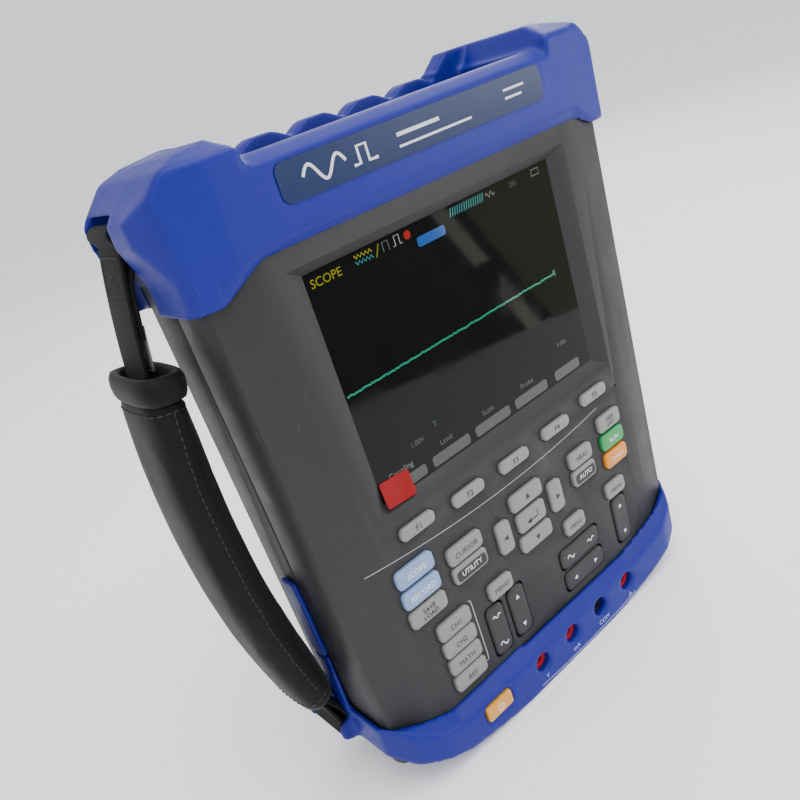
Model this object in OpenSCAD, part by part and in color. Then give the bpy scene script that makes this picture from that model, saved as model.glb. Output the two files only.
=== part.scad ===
// Handheld two-channel oscilloscope that stands upright on its bottom boot.
// X runs to the right across the screen, Y runs back through the case, Z runs up along it.
// The origin is the middle of the boot's flat bottom.

/* [Case] */
// Width of the grey shells under the top cap
case_top_w = 181; // [172:1:190]
// Width of the grey shells at the bottom
case_foot_w = 173; // [166:1:182]
// Depth of the case from front face to back face
case_d = 46; // [42:1:52]
// Height of the top of the shells above the base
shell_top_z = 214; // [205:1:225]
// Wall thickness of the shells
wall = 2.5; // [2:0.1:3]
// How far the blue parts stand proud of the shells at the sides and back
blue_skin = 2.5; // [1.5:0.5:4]

/* [Screen] */
// Width of the screen opening
screen_w = 115; // [100:1:120]
// Height of the screen opening
screen_h = 84; // [75:1:88]
// Height of the screen's middle above the base
screen_z = 152; // [148:1:156]
// Sideways place of the screen's middle
screen_x = 1; // [0:0.5:3]
// Depth of the screen window below the front face
screen_recess = 3.5; // [2:0.5:4.5]

/* [Keys] */
// Height that the light keys stand above the front face
key_rise = 1.8; // [1:0.1:2.5]
// Gap around each key in its hole
key_gap = 0.25; // [0.15:0.05:0.35]
// Travel of each key
key_travel = 1; // [0.6:0.1:1.2]
// Pitch of the five keys under the screen
soft_key_pitch = 25; // [22:0.5:26]
// Rise of the outer keys of that row above its middle key
soft_key_bow = 2.6; // [0:0.2:4]

/* [Sockets] */
// Spacing of the measuring sockets
jack_pitch = 19.05; // [19:0.05:19.1]
// Radius of the bore of each measuring socket
jack_bore_r = 2; // [1.9:0.05:2.1]
// Spacing of the bayonet connectors on the top
bnc_pitch = 34; // [30:1:36]
// Outer radius of a bayonet barrel
bnc_r = 4.85; // [4.7:0.05:5]

/* [Strap] */
// How far the hand strap bows out from the line between its bars
strap_bow = 15; // [12:1:20]
// Width of the webbing
webbing_w = 18; // [14:1:25]
// Thickness of the webbing
webbing_t = 1.5; // [1:0.1:2]
// Thickness of the hand pad
pad_t = 16.5; // [12:0.5:17]
// Width of the hand pad
pad_w = 34; // [28:1:36]

/* [Stand] */
// Width of the tilt stand
stand_w = 90; // [70:1:94]
// Length of the tilt stand
stand_l = 80; // [60:1:82]
// Thickness of the tilt stand
stand_t = 4; // [3:0.5:4.5]

/* [Hidden] */
$fn = 48;
face_y = -22;
back_y = face_y + case_d;
split_y = 1.5;
seam = 0.4;
shell_foot_z = 4;
inner_y = face_y + wall;
window_y = face_y + screen_recess;
window_t = 1.5;
taper = atan((case_top_w - case_foot_w) / 2 / (shell_top_z - shell_foot_z));

// Half width of the shells at a height, and at their two ends.
function side_x(z) = case_foot_w / 2 + (z - shell_foot_z) * tan(taper);
top_hw = case_top_w / 2;
foot_hw = case_foot_w / 2;

cap_front_y = face_y - 2.5;
cap_ridge_z = shell_top_z + 14.5;
cap_top_z = shell_top_z + 18;
ear_top_z = shell_top_z + 26;
// Lengths that run clear past the whole instrument
far_z = ear_top_z + 60;
far_x = case_top_w + case_foot_w;
plate_w = 115;
plate_h = 12;
plate_x = 0.5;
plate_z = shell_top_z + 7.3;
plate_depth = 0.4;
boot_front_y = face_y - 6.5;
boot_back_y = back_y + blue_skin;
foot_r = 330;
foot_flat = 30;
foot_axis_z = sqrt(foot_r * foot_r - foot_flat * foot_flat);

flange_t = 1;
flange_y = inner_y + 0.1;
mat_y = flange_y + flange_t + key_travel + 0.3;
mat_t = 1.2;
key_front_y = face_y - key_rise;
rocker_front_y = face_y - 0.9;
rocker_back_y = inner_y + 1.5;
rocker_pivot_y = inner_y + 1;

// Light keys: name, place from the screen's middle, size, colour.
key_grey = [0.66, 0.67, 0.63];
key_blue = [0.55, 0.63, 0.78];
key_green = [0.25, 0.6, 0.35];
key_orange = [0.93, 0.5, 0.2];
key_h = 7.5;
long_key_w = 17.5;
short_key_w = 14.5;
menu_key_w = 12.5;
key_row = 8.2;

function soft_key(i) =
    [str("key_f", i), (i - 3) * soft_key_pitch, -56 + soft_key_bow * pow((i - 3) / 2, 2), 16, 5.2, key_grey];

KEYS = concat(
    [for (i = [1:5]) soft_key(i)],
    [
        ["key_scope", -57, -68, long_key_w, key_h, key_blue],
        ["key_recorder", -57, -68 - 8.8, long_key_w, key_h, key_blue],
        ["key_save", -57, -68 - 17.6, long_key_w, key_h, key_grey],
        ["key_cursor", -34, -74, long_key_w, key_h, key_grey],
        ["key_utility", -34, -74 - key_row, long_key_w, key_h, key_grey],
        ["key_ch1", -48.7, -98.6, 16.5, key_h, key_grey],
        ["key_ch2", -48.7, -98.6 - key_row, 16.5, key_h, key_grey],
        ["key_math", -48.7, -98.6 - 2 * key_row, 16.5, key_h, key_grey],
        ["key_ref", -48.7, -98.6 - 3 * key_row, 16.5, key_h, key_grey],
        ["key_menu_vertical", -23.5, -99.5, 13, key_h, key_grey],
        ["key_up", 0.8, -72.6, 18, key_h, key_grey],
        ["key_enter", 0.8, -82.2, 16, 8.8, key_grey],
        ["key_down", 0.8, -91.8, 18, key_h, key_grey],
        ["key_left", -14.7, -82.2, 7.5, 14, key_grey],
        ["key_right", 16.3, -82.2, 7.5, 14, key_grey],
        ["key_measure", 34.6, -74.2, short_key_w, key_h, key_grey],
        ["key_autoset", 34.6, -74.2 - key_row, short_key_w, key_h, key_grey],
        ["key_display", 55.6, -68.6, short_key_w, key_h, key_grey],
        ["key_run", 55.6, -68.6 - 8.7, short_key_w, key_h, key_green],
        ["key_single", 55.6, -68.6 - 17.4, short_key_w, key_h, key_orange],
        ["key_menu_horizontal", 22.6, -100, menu_key_w, key_h, key_grey],
        ["key_menu_trigger", 50.8, -99.5, menu_key_w, key_h, key_grey]
    ]
);

// Dark rockers: name, place from the screen's middle, size.
rocker_w = 9.2;
rocker_l = 23;
rocker_gap = 0.5;
ROCKERS = [
    ["rocker_range", -29.6, -116.3, rocker_w, rocker_l],
    ["rocker_position", -17.3, -116, rocker_w, rocker_l],
    ["rocker_time", 22.4, -112.4, rocker_l + 2, rocker_w],
    ["rocker_shift", 22.4, -123.4, rocker_l + 2, rocker_w],
    ["rocker_level", 51, -116, rocker_w, rocker_l]
];

jack_z = 11.5;
jack_mid_x = screen_x + 10.7;
jack_body_r = 4.6;
jack_len = 24;
jack_mouth_r = 3.9;
jack_face_y = boot_front_y + 3.5;
function jack_x(i) = jack_mid_x + (i - 1.5) * jack_pitch;
power_x = screen_x - 44.8;
power_z = 12;
power_w = 13.5;
power_h = 6.5;

bnc_x = -2;
bnc_y = 1;
bnc_flange = 14;
bnc_flange_t = 2;
bnc_len = 14;
bnc_body_r = 6;
bnc_lug_z = 9.5;
bnc_lug_r = 1;
bnc_lug_reach = 5.8;
bnc_root_r = bnc_r - 0.4;
bnc_root_h = bnc_lug_z + bnc_lug_r + 0.1;
bnc_wall = 0.8;
insulator_r = 2.4;
contact_r = 0.7;

pin_r = 1.5;
stand_hinge_z = shell_top_z - 36;
stand_y = back_y - 4.8;
stand_pin_y = back_y - 3;
recess_w = stand_w + 4;
recess_z0 = stand_hinge_z - stand_l - 3;
recess_z1 = stand_hinge_z + 5;
recess_y = back_y - 5.5;

bay_w = 78;
bay_z0 = 38;
bay_z1 = 90;
cover_rim = 4;
cover_t = 2.2;
cover_screw_x = 30;
cover_screw_z = bay_z1 + 2;
cover_screw_r = 1.1;

screw_zs = [44, shell_top_z - 24];
lcd_w = screen_w + 11;
lcd_h = screen_h + 9;
// The case screws stand midway between the display and the side walls.
screw_x = (screen_x + lcd_w / 2 + side_x(screw_zs[1]) - wall) / 2;
screw_r = 1.5;
screw_head_r = 2.9;

low_bar_z = 24;
high_bar_z = shell_top_z + 8;
strap_cz = (low_bar_z + high_bar_z) / 2;
strap_end = (high_bar_z - low_bar_z) / 2;
lug_margin = 3.5;
strap_y = boot_back_y - webbing_w / 2 - lug_margin;
// Room for the webbing in the rubber, and the ends of its two bars
strap_slot = webbing_w + 2;
strap_slot_x = 0.7;
bar_y0 = strap_y - webbing_w / 2 - 3;
bar_y1 = strap_y + webbing_w / 2 + 2;
strap_r = (strap_end * strap_end + strap_bow * strap_bow) / 2 / strap_bow;
bar_r = 2;
bar_out = 4.6;
strap_cx = bar_out + strap_bow - strap_r;
// The pad stands further in than out from the webbing, flush with the back and clear of the wall.
pad_out = 7.5;
pad_y = boot_back_y - pad_w / 2;
pad_clear_x = 2.6;
pad_z0 = strap_cz - 80;
pad_z1 = strap_cz + 60;

// Ports in the side walls: depth and height of each hole, in its wall's frame.
right_port = [[-9, 7], [52, 98]];
left_port = [[4.5, 10.5], [63, 87]];
port_low_z = 60;
port_x = side_x(port_low_z) - wall - 0.05;

// ---------- helpers ----------

module rounded_rect(w, h, r) {
    square([w - 2 * r, h], center = true);
    square([w, h - 2 * r], center = true);
    for (sx = [-1, 1], sz = [-1, 1])
        translate([sx * (w / 2 - r), sz * (h / 2 - r)])
            circle(r);
}

// Extrudes a front-view outline (x, z) from y0 back to y1.
module front_prism(y0, y1) {
    translate([0, y1, 0])
        rotate([90, 0, 0])
            linear_extrude(y1 - y0)
                children();
}

// Extrudes a side-view outline (y, z) over the width x0 to x1.
module side_prism(x0, x1) {
    translate([x0, 0, 0])
        rotate([90, 0, 90])
            linear_extrude(x1 - x0)
                children();
}

module box(x0, x1, y0, y1, z0, z1) {
    translate([x0, y0, z0])
        cube([x1 - x0, y1 - y0, z1 - z0]);
}

module rod_y(x, z, r, y0, y1) {
    translate([x, y1, z])
        rotate([90, 0, 0])
            cylinder(r = r, h = y1 - y0);
}

module rod_x(y, z, r, x0, x1) {
    translate([x0, y, z])
        rotate([0, 90, 0])
            cylinder(r = r, h = x1 - x0);
}

// Frame on a side wall: x = 0 is the wall's surface and points outward, z stays the height.
module on_wall(side) {
    mirror([side < 0 ? 1 : 0, 0, 0])
        translate([case_top_w / 2, 0, shell_top_z])
            rotate([0, taper, 0])
                translate([0, 0, -shell_top_z])
                    children();
}

// Sections of the long front corners: steps inward from the side and back from the front.
shell_corner = [[15, 0], [1.5, 3.2], [0, 6]];
cap_corner = [[17, 0], [1.5, 3.2], [0, 6]];
cap_skin = 3.5;
ear_bulge = 4;
strap_ear_corner = concat([for (c = cap_corner) [c[0] + ear_bulge, c[1]]], [[0, 15]]);
boot_corner = [[18, 0], [8, 3], [0, 12]];

// Half of the tapered case form, grown outward by g at the side.
module case_half(side, g, y0, y1, corner, rear_chamfer) {
    on_wall(side)
        translate([0, 0, -20])
            linear_extrude(far_z + 20)
                polygon(concat(
                    [[-far_x, y0]],
                    [for (c = corner) [g - c[0], y0 + c[1]]],
                    [[g, y1 - rear_chamfer], [g - rear_chamfer, y1], [-far_x, y1]]
                ));
}

module case_solid(g, y0, y1, z0, z1, corner, rear_chamfer) {
    intersection() {
        case_half(-1, g, y0, y1, corner, rear_chamfer);
        case_half(1, g, y0, y1, corner, rear_chamfer);
        box(-far_x, far_x, y0 - 1, y1 + 1, z0, z1);
    }
}

// Everything above the arc of the underside, raised by the given height.
module above_foot_arc(raise) {
    translate([0, 60, foot_axis_z])
        rotate([90, 0, 0])
            cylinder(r = foot_r - raise, h = 120, $fn = 360);
}

module shell_form(inset) {
    intersection() {
        case_solid(-inset, face_y + inset, back_y - inset, shell_foot_z + inset, shell_top_z - inset,
                   shell_corner, 5);
        above_foot_arc(shell_foot_z + inset);
    }
}

module stand_recess(extra) {
    box(-recess_w / 2 - extra, recess_w / 2 + extra, recess_y - extra, back_y + 5,
        recess_z0 - extra, recess_z1 + extra);
}

module battery_bay(extra, y0, y1) {
    front_prism(y0, y1)
        translate([0, (bay_z0 + bay_z1) / 2])
            rounded_rect(bay_w + 2 * extra, bay_z1 - bay_z0 + 2 * extra, 2 + extra);
}

module shell_hollow() {
    difference() {
        shell_form(wall);
        stand_recess(wall);
    }
}

// A block that fills a port, smaller by the given gaps in depth and height.
module port_block(port, x0, x1, gap_y, gap_z) {
    box(x0, x1, port[0][0] + gap_y, port[0][1] - gap_y, port[1][0] + gap_z, port[1][1] - gap_z);
}

module port_holes() {
    on_wall(1)
        port_block(right_port, -6, 3, 0, 0);
    on_wall(-1)
        port_block(left_port, -6, 3, 0, 0);
}

module bnc_holes() {
    for (i = [-1:1])
        translate([bnc_x + i * bnc_pitch, bnc_y, shell_top_z - 6])
            cylinder(r = bnc_body_r + 0.1, h = 12);
}

// Recess for the screen: a sloping rim down to the opening.
module screen_rim() {
    rim_x = 6.8;
    rim_z = 3.6;
    y0 = face_y - 0.5;
    grow = 1 + 0.5 / screen_recess;
    intersection() {
        translate([screen_x, 0, 0])
            linear_extrude(far_z)
                polygon([
                    [-screen_w / 2 - rim_x * grow, y0],
                    [screen_w / 2 + rim_x * grow, y0],
                    [screen_w / 2, window_y],
                    [-screen_w / 2, window_y]
                ]);
        translate([0, 0, screen_z])
            side_prism(-far_x, far_x)
                polygon([
                    [y0, -screen_h / 2 - rim_z * grow],
                    [window_y, -screen_h / 2],
                    [window_y, screen_h / 2],
                    [y0, screen_h / 2 + rim_z * grow]
                ]);
    }
}

// Puts a key's front-view outline in its place.
module at_key(k) {
    translate([screen_x + k[1], screen_z + k[2]])
        children();
}

module key_outline(k, gap) {
    at_key(k)
        rounded_rect(k[3] + 2 * gap, k[4] + 2 * gap, 2 + gap);
}

// ---------- shells ----------

module front_shell() {
    post_r = 3.6;
    color([0.25, 0.25, 0.26])
        difference() {
            union() {
                difference() {
                    shell_form(0);
                    shell_hollow();
                }
                // seat that frames the window from behind
                front_prism(inner_y - 0.2, window_y)
                    difference() {
                        translate([screen_x, screen_z])
                            square([screen_w + 14, screen_h + 12], center = true);
                        translate([screen_x, screen_z])
                            square([screen_w, screen_h], center = true);
                    }
                intersection() {
                    for (sx = [-1, 1], z = screw_zs)
                        rod_y(sx * screw_x, z, post_r, inner_y - 0.2, split_y - seam);
                    shell_form(wall / 2);
                }
            }
            box(-far_x, far_x, split_y - seam, back_y + 20, -10, far_z);
            screen_rim();
            front_prism(face_y - 1, window_y + 0.01)
                translate([screen_x, screen_z])
                    square([screen_w, screen_h], center = true);
            front_prism(face_y - 1, inner_y + 0.5)
                for (k = KEYS)
                    key_outline(k, key_gap);
            front_prism(face_y - 1, inner_y + 0.5)
                for (r = ROCKERS)
                    key_outline(r, rocker_gap);
            for (sx = [-1, 1], z = screw_zs)
                rod_y(sx * screw_x, z, screw_r, inner_y + 6, 30);
            // indicator hole
            rod_y(screen_x + 65, screen_z - 57, 0.7, face_y - 1, inner_y + 1);
            // seats for the sockets, through the face and along the floor
            for (i = [0:3])
                rod_y(jack_x(i), jack_z, jack_body_r + 0.05, face_y - 1, jack_face_y + jack_len + 1);
            front_prism(face_y - 1, inner_y + 1)
                translate([power_x, power_z])
                    square([power_w - 4, power_h - 2], center = true);
            port_holes();
            bnc_holes();
        }
}

module rear_shell() {
    boss_r = 4;
    color([0.12, 0.12, 0.13])
        difference() {
            union() {
                difference() {
                    shell_form(0);
                    shell_hollow();
                }
                for (sx = [-1, 1], z = screw_zs)
                    rod_y(sx * screw_x, z, boss_r, split_y + seam, back_y - 1);
                // rim that carries the battery cover
                intersection() {
                    battery_bay(cover_rim + 2, back_y - cover_t - 2.5, back_y - 0.5);
                    shell_form(0);
                }
            }
            box(-far_x, far_x, face_y - 20, split_y + seam, -10, far_z);
            stand_recess(0);
            battery_bay(cover_rim, back_y - cover_t, back_y + 1);
            battery_bay(0, back_y - 12, back_y + 1);
            for (sx = [-1, 1], z = screw_zs) {
                rod_y(sx * screw_x, z, screw_r + 0.1, -10, 60);
                rod_y(sx * screw_x, z, screw_head_r + 0.2, back_y - 4, 60);
            }
            for (sx = [-1, 1])
                rod_y(sx * cover_screw_x, cover_screw_z, cover_screw_r, back_y - 8, back_y + 1);
            for (sx = [-1, 1])
                rod_x(stand_pin_y, stand_hinge_z, pin_r, sx * recess_w / 2 - 5, sx * recess_w / 2 + 5);
            port_holes();
            bnc_holes();
        }
}

module case_gasket() {
    color([0.05, 0.05, 0.05])
        difference() {
            intersection() {
                difference() {
                    shell_form(0.5);
                    shell_form(wall);
                }
                box(-far_x, far_x, split_y - seam, split_y + seam, -10, far_z);
            }
            port_holes();
            bnc_holes();
        }
}

// ---------- blue end caps ----------

// Lower edge of the cap from left to right: (x, z).
cap_rim = [
    [-top_hw - 9.5, shell_top_z - 18], [6.5 - top_hw, shell_top_z - 18], [20.5 - top_hw, shell_top_z - 11],
    [35.5 - top_hw, shell_top_z - 10], [top_hw - 18.5, shell_top_z - 10],
    [top_hw - 5.5, shell_top_z - 14.5], [top_hw + 9.5, shell_top_z - 15]
];
rail_z = shell_top_z + 20;

module cap_outline() {
    polygon(concat(
        [[-top_hw - 3.5, cap_rim[0][1]]],
        [for (i = [1:5]) cap_rim[i]],
        [
            [top_hw + 7.5, cap_rim[6][1]], [top_hw + 7.5, shell_top_z + 4], [top_hw + 1.5, shell_top_z + 16],
            [top_hw - 6.5, shell_top_z + 23], [top_hw - 16.5, ear_top_z], [top_hw - 33.5, ear_top_z],
            [top_hw - 41.5, rail_z], [47.5 - top_hw, rail_z], [38.5 - top_hw, rail_z + 3],
            [24.5 - top_hw, ear_top_z - 0.5], [10.5 - top_hw, ear_top_z - 2], [2.5 - top_hw, rail_z + 1.5],
            [-top_hw - 8, shell_top_z + 11], [-top_hw - 8, shell_top_z + 5], [-top_hw - 3.5, shell_top_z - 8]
        ]
    ));
}

// Cuts a sloping strip off a front edge that runs from p to q, seen from the front (x, z).
// The slope starts at depth y0 and reaches depth y1 at the distance run from the edge.
module edge_bevel(p, q, y0, y1, run) {
    edge_l = norm(q - p);
    translate([p[0], 0, p[1]])
        rotate([0, -atan2(q[1] - p[1], q[0] - p[0]), 0])
            side_prism(-0.5, edge_l + 0.5)
                polygon([[y0, 0], [y1, run], [y1 - 12, run], [y1 - 12, -sign(run) * 9], [y0, -sign(run) * 9]]);
}

tab_pitch = 23;
tab_x = -32;
tab_r = 17;
plug_room_w = bnc_pitch * 2 + 50;

back_rail_y = back_y - 6;

// Four rounded tabs that stand up between notches in the middle of the back rail.
module rail_tabs() {
    front_prism(back_rail_y - 3, boot_back_y + 15)
        for (i = [0:3])
            translate([tab_x + i * tab_pitch, cap_top_z - 2])
                intersection() {
                    translate([0, 4.5 - tab_r])
                        circle(tab_r, $fn = 96);
                    square([tab_pitch - 1.5, 20], center = true);
                }
}

module top_cap() {
    color([0.2, 0.24, 0.68])
        difference() {
            intersection() {
                case_half(-1, cap_skin + ear_bulge, cap_front_y, boot_back_y, strap_ear_corner, 2);
                case_half(1, cap_skin, cap_front_y, boot_back_y, cap_corner, 2);
                front_prism(cap_front_y - 1, boot_back_y + 1)
                    cap_outline();
            }
            shell_form(0);
            // room for the plugs, between the front rail and the back rail
            box(-plug_room_w / 2 + 2, plug_room_w / 2 + 2, face_y + 7, back_rail_y, shell_top_z - 1, far_z);
            front_prism(cap_front_y - 1, back_rail_y)
                polygon([
                    [-72, ear_top_z + 5], [-63, cap_top_z],
                    [63, cap_top_z], [72, ear_top_z + 5]
                ]);
            difference() {
                box(tab_x - 12, tab_x + 3.5 * tab_pitch - 0.5, back_rail_y - 1, boot_back_y + 14,
                    cap_top_z - 2, far_z);
                rail_tabs();
            }
            // bevels along the lower and the upper front edge
            for (i = [0:len(cap_rim) - 2])
                edge_bevel(cap_rim[i], cap_rim[i + 1], face_y, cap_front_y - 1, 5);
            edge_bevel([-64, cap_top_z], [64, cap_top_z], cap_front_y + 5, cap_front_y, cap_ridge_z - cap_top_z);
            edge_bevel([-far_x, ear_top_z], [-64, ear_top_z], cap_front_y + 12, cap_front_y, -5);
            edge_bevel([64, ear_top_z], [far_x, ear_top_z], cap_front_y + 12, cap_front_y, -5);
            // slot for the strap in the left ear
            on_wall(-1) {
                box(strap_slot_x, 30, strap_y - strap_slot / 2, strap_y + strap_slot / 2,
                    shell_top_z - 24, high_bar_z + 5.5);
                rod_y(bar_out, high_bar_z, bar_r, bar_y0, bar_y1);
            }
            front_prism(cap_front_y - 1, cap_front_y + plate_depth)
                plate_outline();
        }
}

module plate_outline() {
    translate([plate_x, plate_z])
        rounded_rect(plate_w, plate_h, 3);
}

module name_plate() {
    color([0.16, 0.24, 0.42])
        front_prism(cap_front_y - 0.3, cap_front_y + plate_depth)
            plate_outline();
}

// Upper edge of the boot from left to right: (x, z).
boot_rim = [
    [-foot_hw - 9.5, 37], [2.5 - foot_hw, 31], [14.5 - foot_hw, 26], [26.5 - foot_hw, 21.3],
    [foot_hw - 41.5, 20.5], [foot_hw - 26.5, 22.8], [foot_hw - 10.5, 26.5], [foot_hw - 2.5, 30],
    [foot_hw + 9.5, 35.5]
];

module boot_outline() {
    polygon(concat(boot_rim, [
        [foot_hw + 9.5, 22], [foot_hw - 2.5, 12.5], [foot_hw - 12.5, 8], [foot_hw - 24.5, 4.5],
        [foot_hw - 36.5, -5], [36.5 - foot_hw, -5], [24.5 - foot_hw, 4.8], [13.5 - foot_hw, 9.5],
        [3.5 - foot_hw, 14], [-foot_hw - 9.5, 25]
    ]));
}

// Blue arm up the left wall, with a tab between two notches below the port cover.
module boot_arm() {
    on_wall(-1)
        difference() {
            box(-0.5, 2, 2, 11, 20, 58);
            box(1, 3, 1, 3.5, 44, 46);
            box(1, 3, 1, 3.5, 54, 56);
        }
}

lug_r = 4.2;

// Two lugs on the left of the boot that carry the lower strap bar.
module strap_lugs() {
    lug_t = 2.5;
    reach = webbing_w / 2 + lug_margin;
    on_wall(-1)
        for (y = [strap_y - reach, strap_y + reach - lug_t]) {
            rod_y(bar_out, low_bar_z, lug_r, y, y + lug_t);
            box(-0.5, bar_out, y, y + lug_t, low_bar_z - lug_r, low_bar_z + lug_r);
        }
}

module bottom_boot() {
    color([0.2, 0.24, 0.68])
        difference() {
            union() {
                intersection() {
                    case_solid(blue_skin, boot_front_y, boot_back_y, 0, 60, boot_corner, 5);
                    front_prism(boot_front_y - 1, boot_back_y + 1)
                        boot_outline();
                    above_foot_arc(0);
                }
                boot_arm();
                strap_lugs();
            }
            shell_form(0);
            for (i = [0:len(boot_rim) - 2])
                edge_bevel(boot_rim[i], boot_rim[i + 1], face_y - 0.5, boot_front_y - 1, -5);
            for (i = [0:3]) {
                rod_y(jack_x(i), jack_z, jack_mouth_r, boot_front_y - 1, face_y + 1);
                rod_y(jack_x(i), jack_z, jack_body_r, jack_face_y, face_y + 1);
            }
            front_prism(boot_front_y - 1, face_y + 1)
                translate([power_x, power_z])
                    rounded_rect(power_w + 0.6, power_h + 0.6, 1.3);
            // slot for the webbing and bore for its bar
            on_wall(-1) {
                box(strap_slot_x, 30, strap_y - strap_slot / 2, strap_y + strap_slot / 2,
                    low_bar_z - lug_r, low_bar_z + lug_r);
                rod_y(bar_out, low_bar_z, bar_r, bar_y0, bar_y1);
            }
        }
}

// ---------- screen ----------

module screen_window() {
    color([0.03, 0.04, 0.04])
        front_prism(window_y, window_y + window_t)
            translate([screen_x, screen_z])
                rounded_rect(screen_w + 10, screen_h + 8, 2);
}

module lcd_module() {
    y0 = window_y + window_t;
    color([0.4, 0.42, 0.43])
        difference() {
            front_prism(y0, y0 + 7)
                translate([screen_x, screen_z])
                    square([lcd_w, lcd_h], center = true);
            front_prism(y0 + 6, y0 + 8)
                translate([screen_x, screen_z])
                    square([screen_w - 20, screen_h - 20], center = true);
        }
}

// Pull tab of the window's film: its top edge lies on the window and its foot lifts off it.
module screen_film_tab() {
    tab_w = 13;
    tab_h = 9.5;
    color([0.8, 0.1, 0.1])
        translate([screen_x - screen_w / 2 + 7, window_y, screen_z - screen_h / 2 + 8.2])
            rotate([-14, 4, 0])
                front_prism(-0.35, 0)
                    translate([0, -tab_h / 2])
                        rounded_rect(tab_w, tab_h, 0.8);
}

// ---------- keypad ----------

module push_key(k) {
    upright = k[4] > k[3];
    color(k[5]) {
        front_prism(key_front_y, flange_y + 0.2)
            key_outline(k, 0);
        front_prism(flange_y, flange_y + flange_t)
            at_key(k)
                square([k[3] + (upright ? 0 : 2), k[4] + (upright ? 2 : 0)], center = true);
    }
}

module rocker_key(r) {
    upright = r[4] > r[3];
    color([0.11, 0.11, 0.11]) {
        front_prism(rocker_front_y, rocker_back_y)
            at_key(r)
                rounded_rect(r[3], r[4], 3);
        if (upright)
            rod_x(rocker_pivot_y, screen_z + r[2], 0.9, screen_x + r[1] - r[3] / 2 - 1.1,
                  screen_x + r[1] + r[3] / 2 + 1.1);
        else
            translate([screen_x + r[1], rocker_pivot_y, screen_z + r[2] - r[4] / 2 - 0.7])
                cylinder(r = 0.9, h = r[4] + 1.4);
    }
}

module key_power() {
    color([0.95, 0.6, 0.15]) {
        front_prism(boot_front_y - 0.9, face_y - key_travel - 0.3)
            translate([power_x, power_z])
                rounded_rect(power_w, power_h, 1);
        front_prism(face_y - 2, flange_y + 0.5)
            translate([power_x, power_z])
                square([power_w - 5, power_h - 3], center = true);
    }
}

module keypad_mat() {
    color([0.75, 0.75, 0.72]) {
        front_prism(mat_y, mat_y + mat_t)
            translate([screen_x, screen_z - 92])
                rounded_rect(134, 82, 4);
        front_prism(mat_y - 0.2, mat_y + 0.1)
            for (k = KEYS)
                at_key(k)
                    circle(2);
    }
}

// ---------- inside ----------

board_y = -6;
board_t = 1.6;

module main_board() {
    z0 = 22;
    color([0.05, 0.3, 0.15]) {
        box(-70, 70, board_y, board_y + board_t, z0, shell_top_z - 9);
        box(60, port_x - 5, board_y, board_y + board_t, 54, 96);
        box(5 - port_x, -60, board_y, board_y + board_t, 54, 96);
        box(power_x - 6, power_x + 6, board_y, board_y + board_t, 10, z0);
    }
    // screening cans over the input stages
    color([0.7, 0.7, 0.7])
        for (x = [-46, -6, 34])
            box(x, x + 30, board_y + board_t, board_y + board_t + 6, 160, 198);
    // processor and memory
    color([0.1, 0.1, 0.1]) {
        box(-15, 15, board_y + board_t, board_y + board_t + 2, 115, 145);
        box(25, 45, board_y + board_t, board_y + board_t + 1.5, 120, 134);
        // switch behind the power key
        rod_y(power_x, power_z, 1.5, flange_y + key_travel + 0.8, board_y);
    }
}

module battery_pack() {
    color([0.15, 0.2, 0.5])
        front_prism(board_y + board_t + 6, back_y - cover_t - 0.3)
            translate([0, (bay_z0 + bay_z1) / 2])
                rounded_rect(bay_w - 2, bay_z1 - bay_z0 - 2, 1.5);
}

module battery_cover() {
    color([0.12, 0.12, 0.13])
        difference() {
            battery_bay(cover_rim - 0.15, back_y - cover_t, back_y - 0.1);
            for (sx = [-1, 1])
                rod_y(sx * cover_screw_x, cover_screw_z, cover_screw_r, back_y - 8, back_y + 1);
        }
}

module battery_cover_screws() {
    color([0.6, 0.6, 0.62])
        for (sx = [-1, 1]) {
            rod_y(sx * cover_screw_x, cover_screw_z, cover_screw_r, back_y - 4.5, back_y - 0.1);
            difference() {
                rod_y(sx * cover_screw_x, cover_screw_z, 1.9, back_y - 0.1, back_y + 0.9);
                rod_y(sx * cover_screw_x, cover_screw_z, 0.7, back_y + 0.4, back_y + 2);
            }
        }
}

module case_screws() {
    color([0.6, 0.6, 0.62])
        for (sx = [-1, 1], z = screw_zs) {
            rod_y(sx * screw_x, z, screw_r, -12, back_y - 4);
            difference() {
                rod_y(sx * screw_x, z, screw_head_r, back_y - 4, back_y - 2);
                rod_y(sx * screw_x, z, 1.2, back_y - 3, back_y);
            }
        }
}

// ---------- stand ----------

module tilt_stand() {
    ear_w = 8;
    color([0.12, 0.12, 0.13])
        difference() {
            union() {
                front_prism(stand_y, stand_y + stand_t)
                    difference() {
                        translate([0, stand_hinge_z - stand_l / 2 - 1])
                            rounded_rect(stand_w, stand_l, 5);
                        translate([0, stand_hinge_z - stand_l / 2 - 4])
                            rounded_rect(stand_w - 36, stand_l - 34, 4);
                    }
                for (sx = [-1, 1])
                    rod_x(stand_pin_y, stand_hinge_z, 2.2, sx * (stand_w / 2 - ear_w / 2) - ear_w / 2,
                          sx * (stand_w / 2 - ear_w / 2) + ear_w / 2);
            }
            for (sx = [-1, 1])
                rod_x(stand_pin_y, stand_hinge_z, pin_r + 0.05, sx * (stand_w / 2 - 4) - 6,
                      sx * (stand_w / 2 - 4) + 6);
        }
}

module stand_pins() {
    color([0.7, 0.7, 0.72])
        for (sx = [-1, 1])
            rod_x(stand_pin_y, stand_hinge_z, pin_r, sx * (recess_w / 2 - 2) - 6.5,
                  sx * (recess_w / 2 - 2) + 6.5);
}

// ---------- connectors ----------

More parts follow.
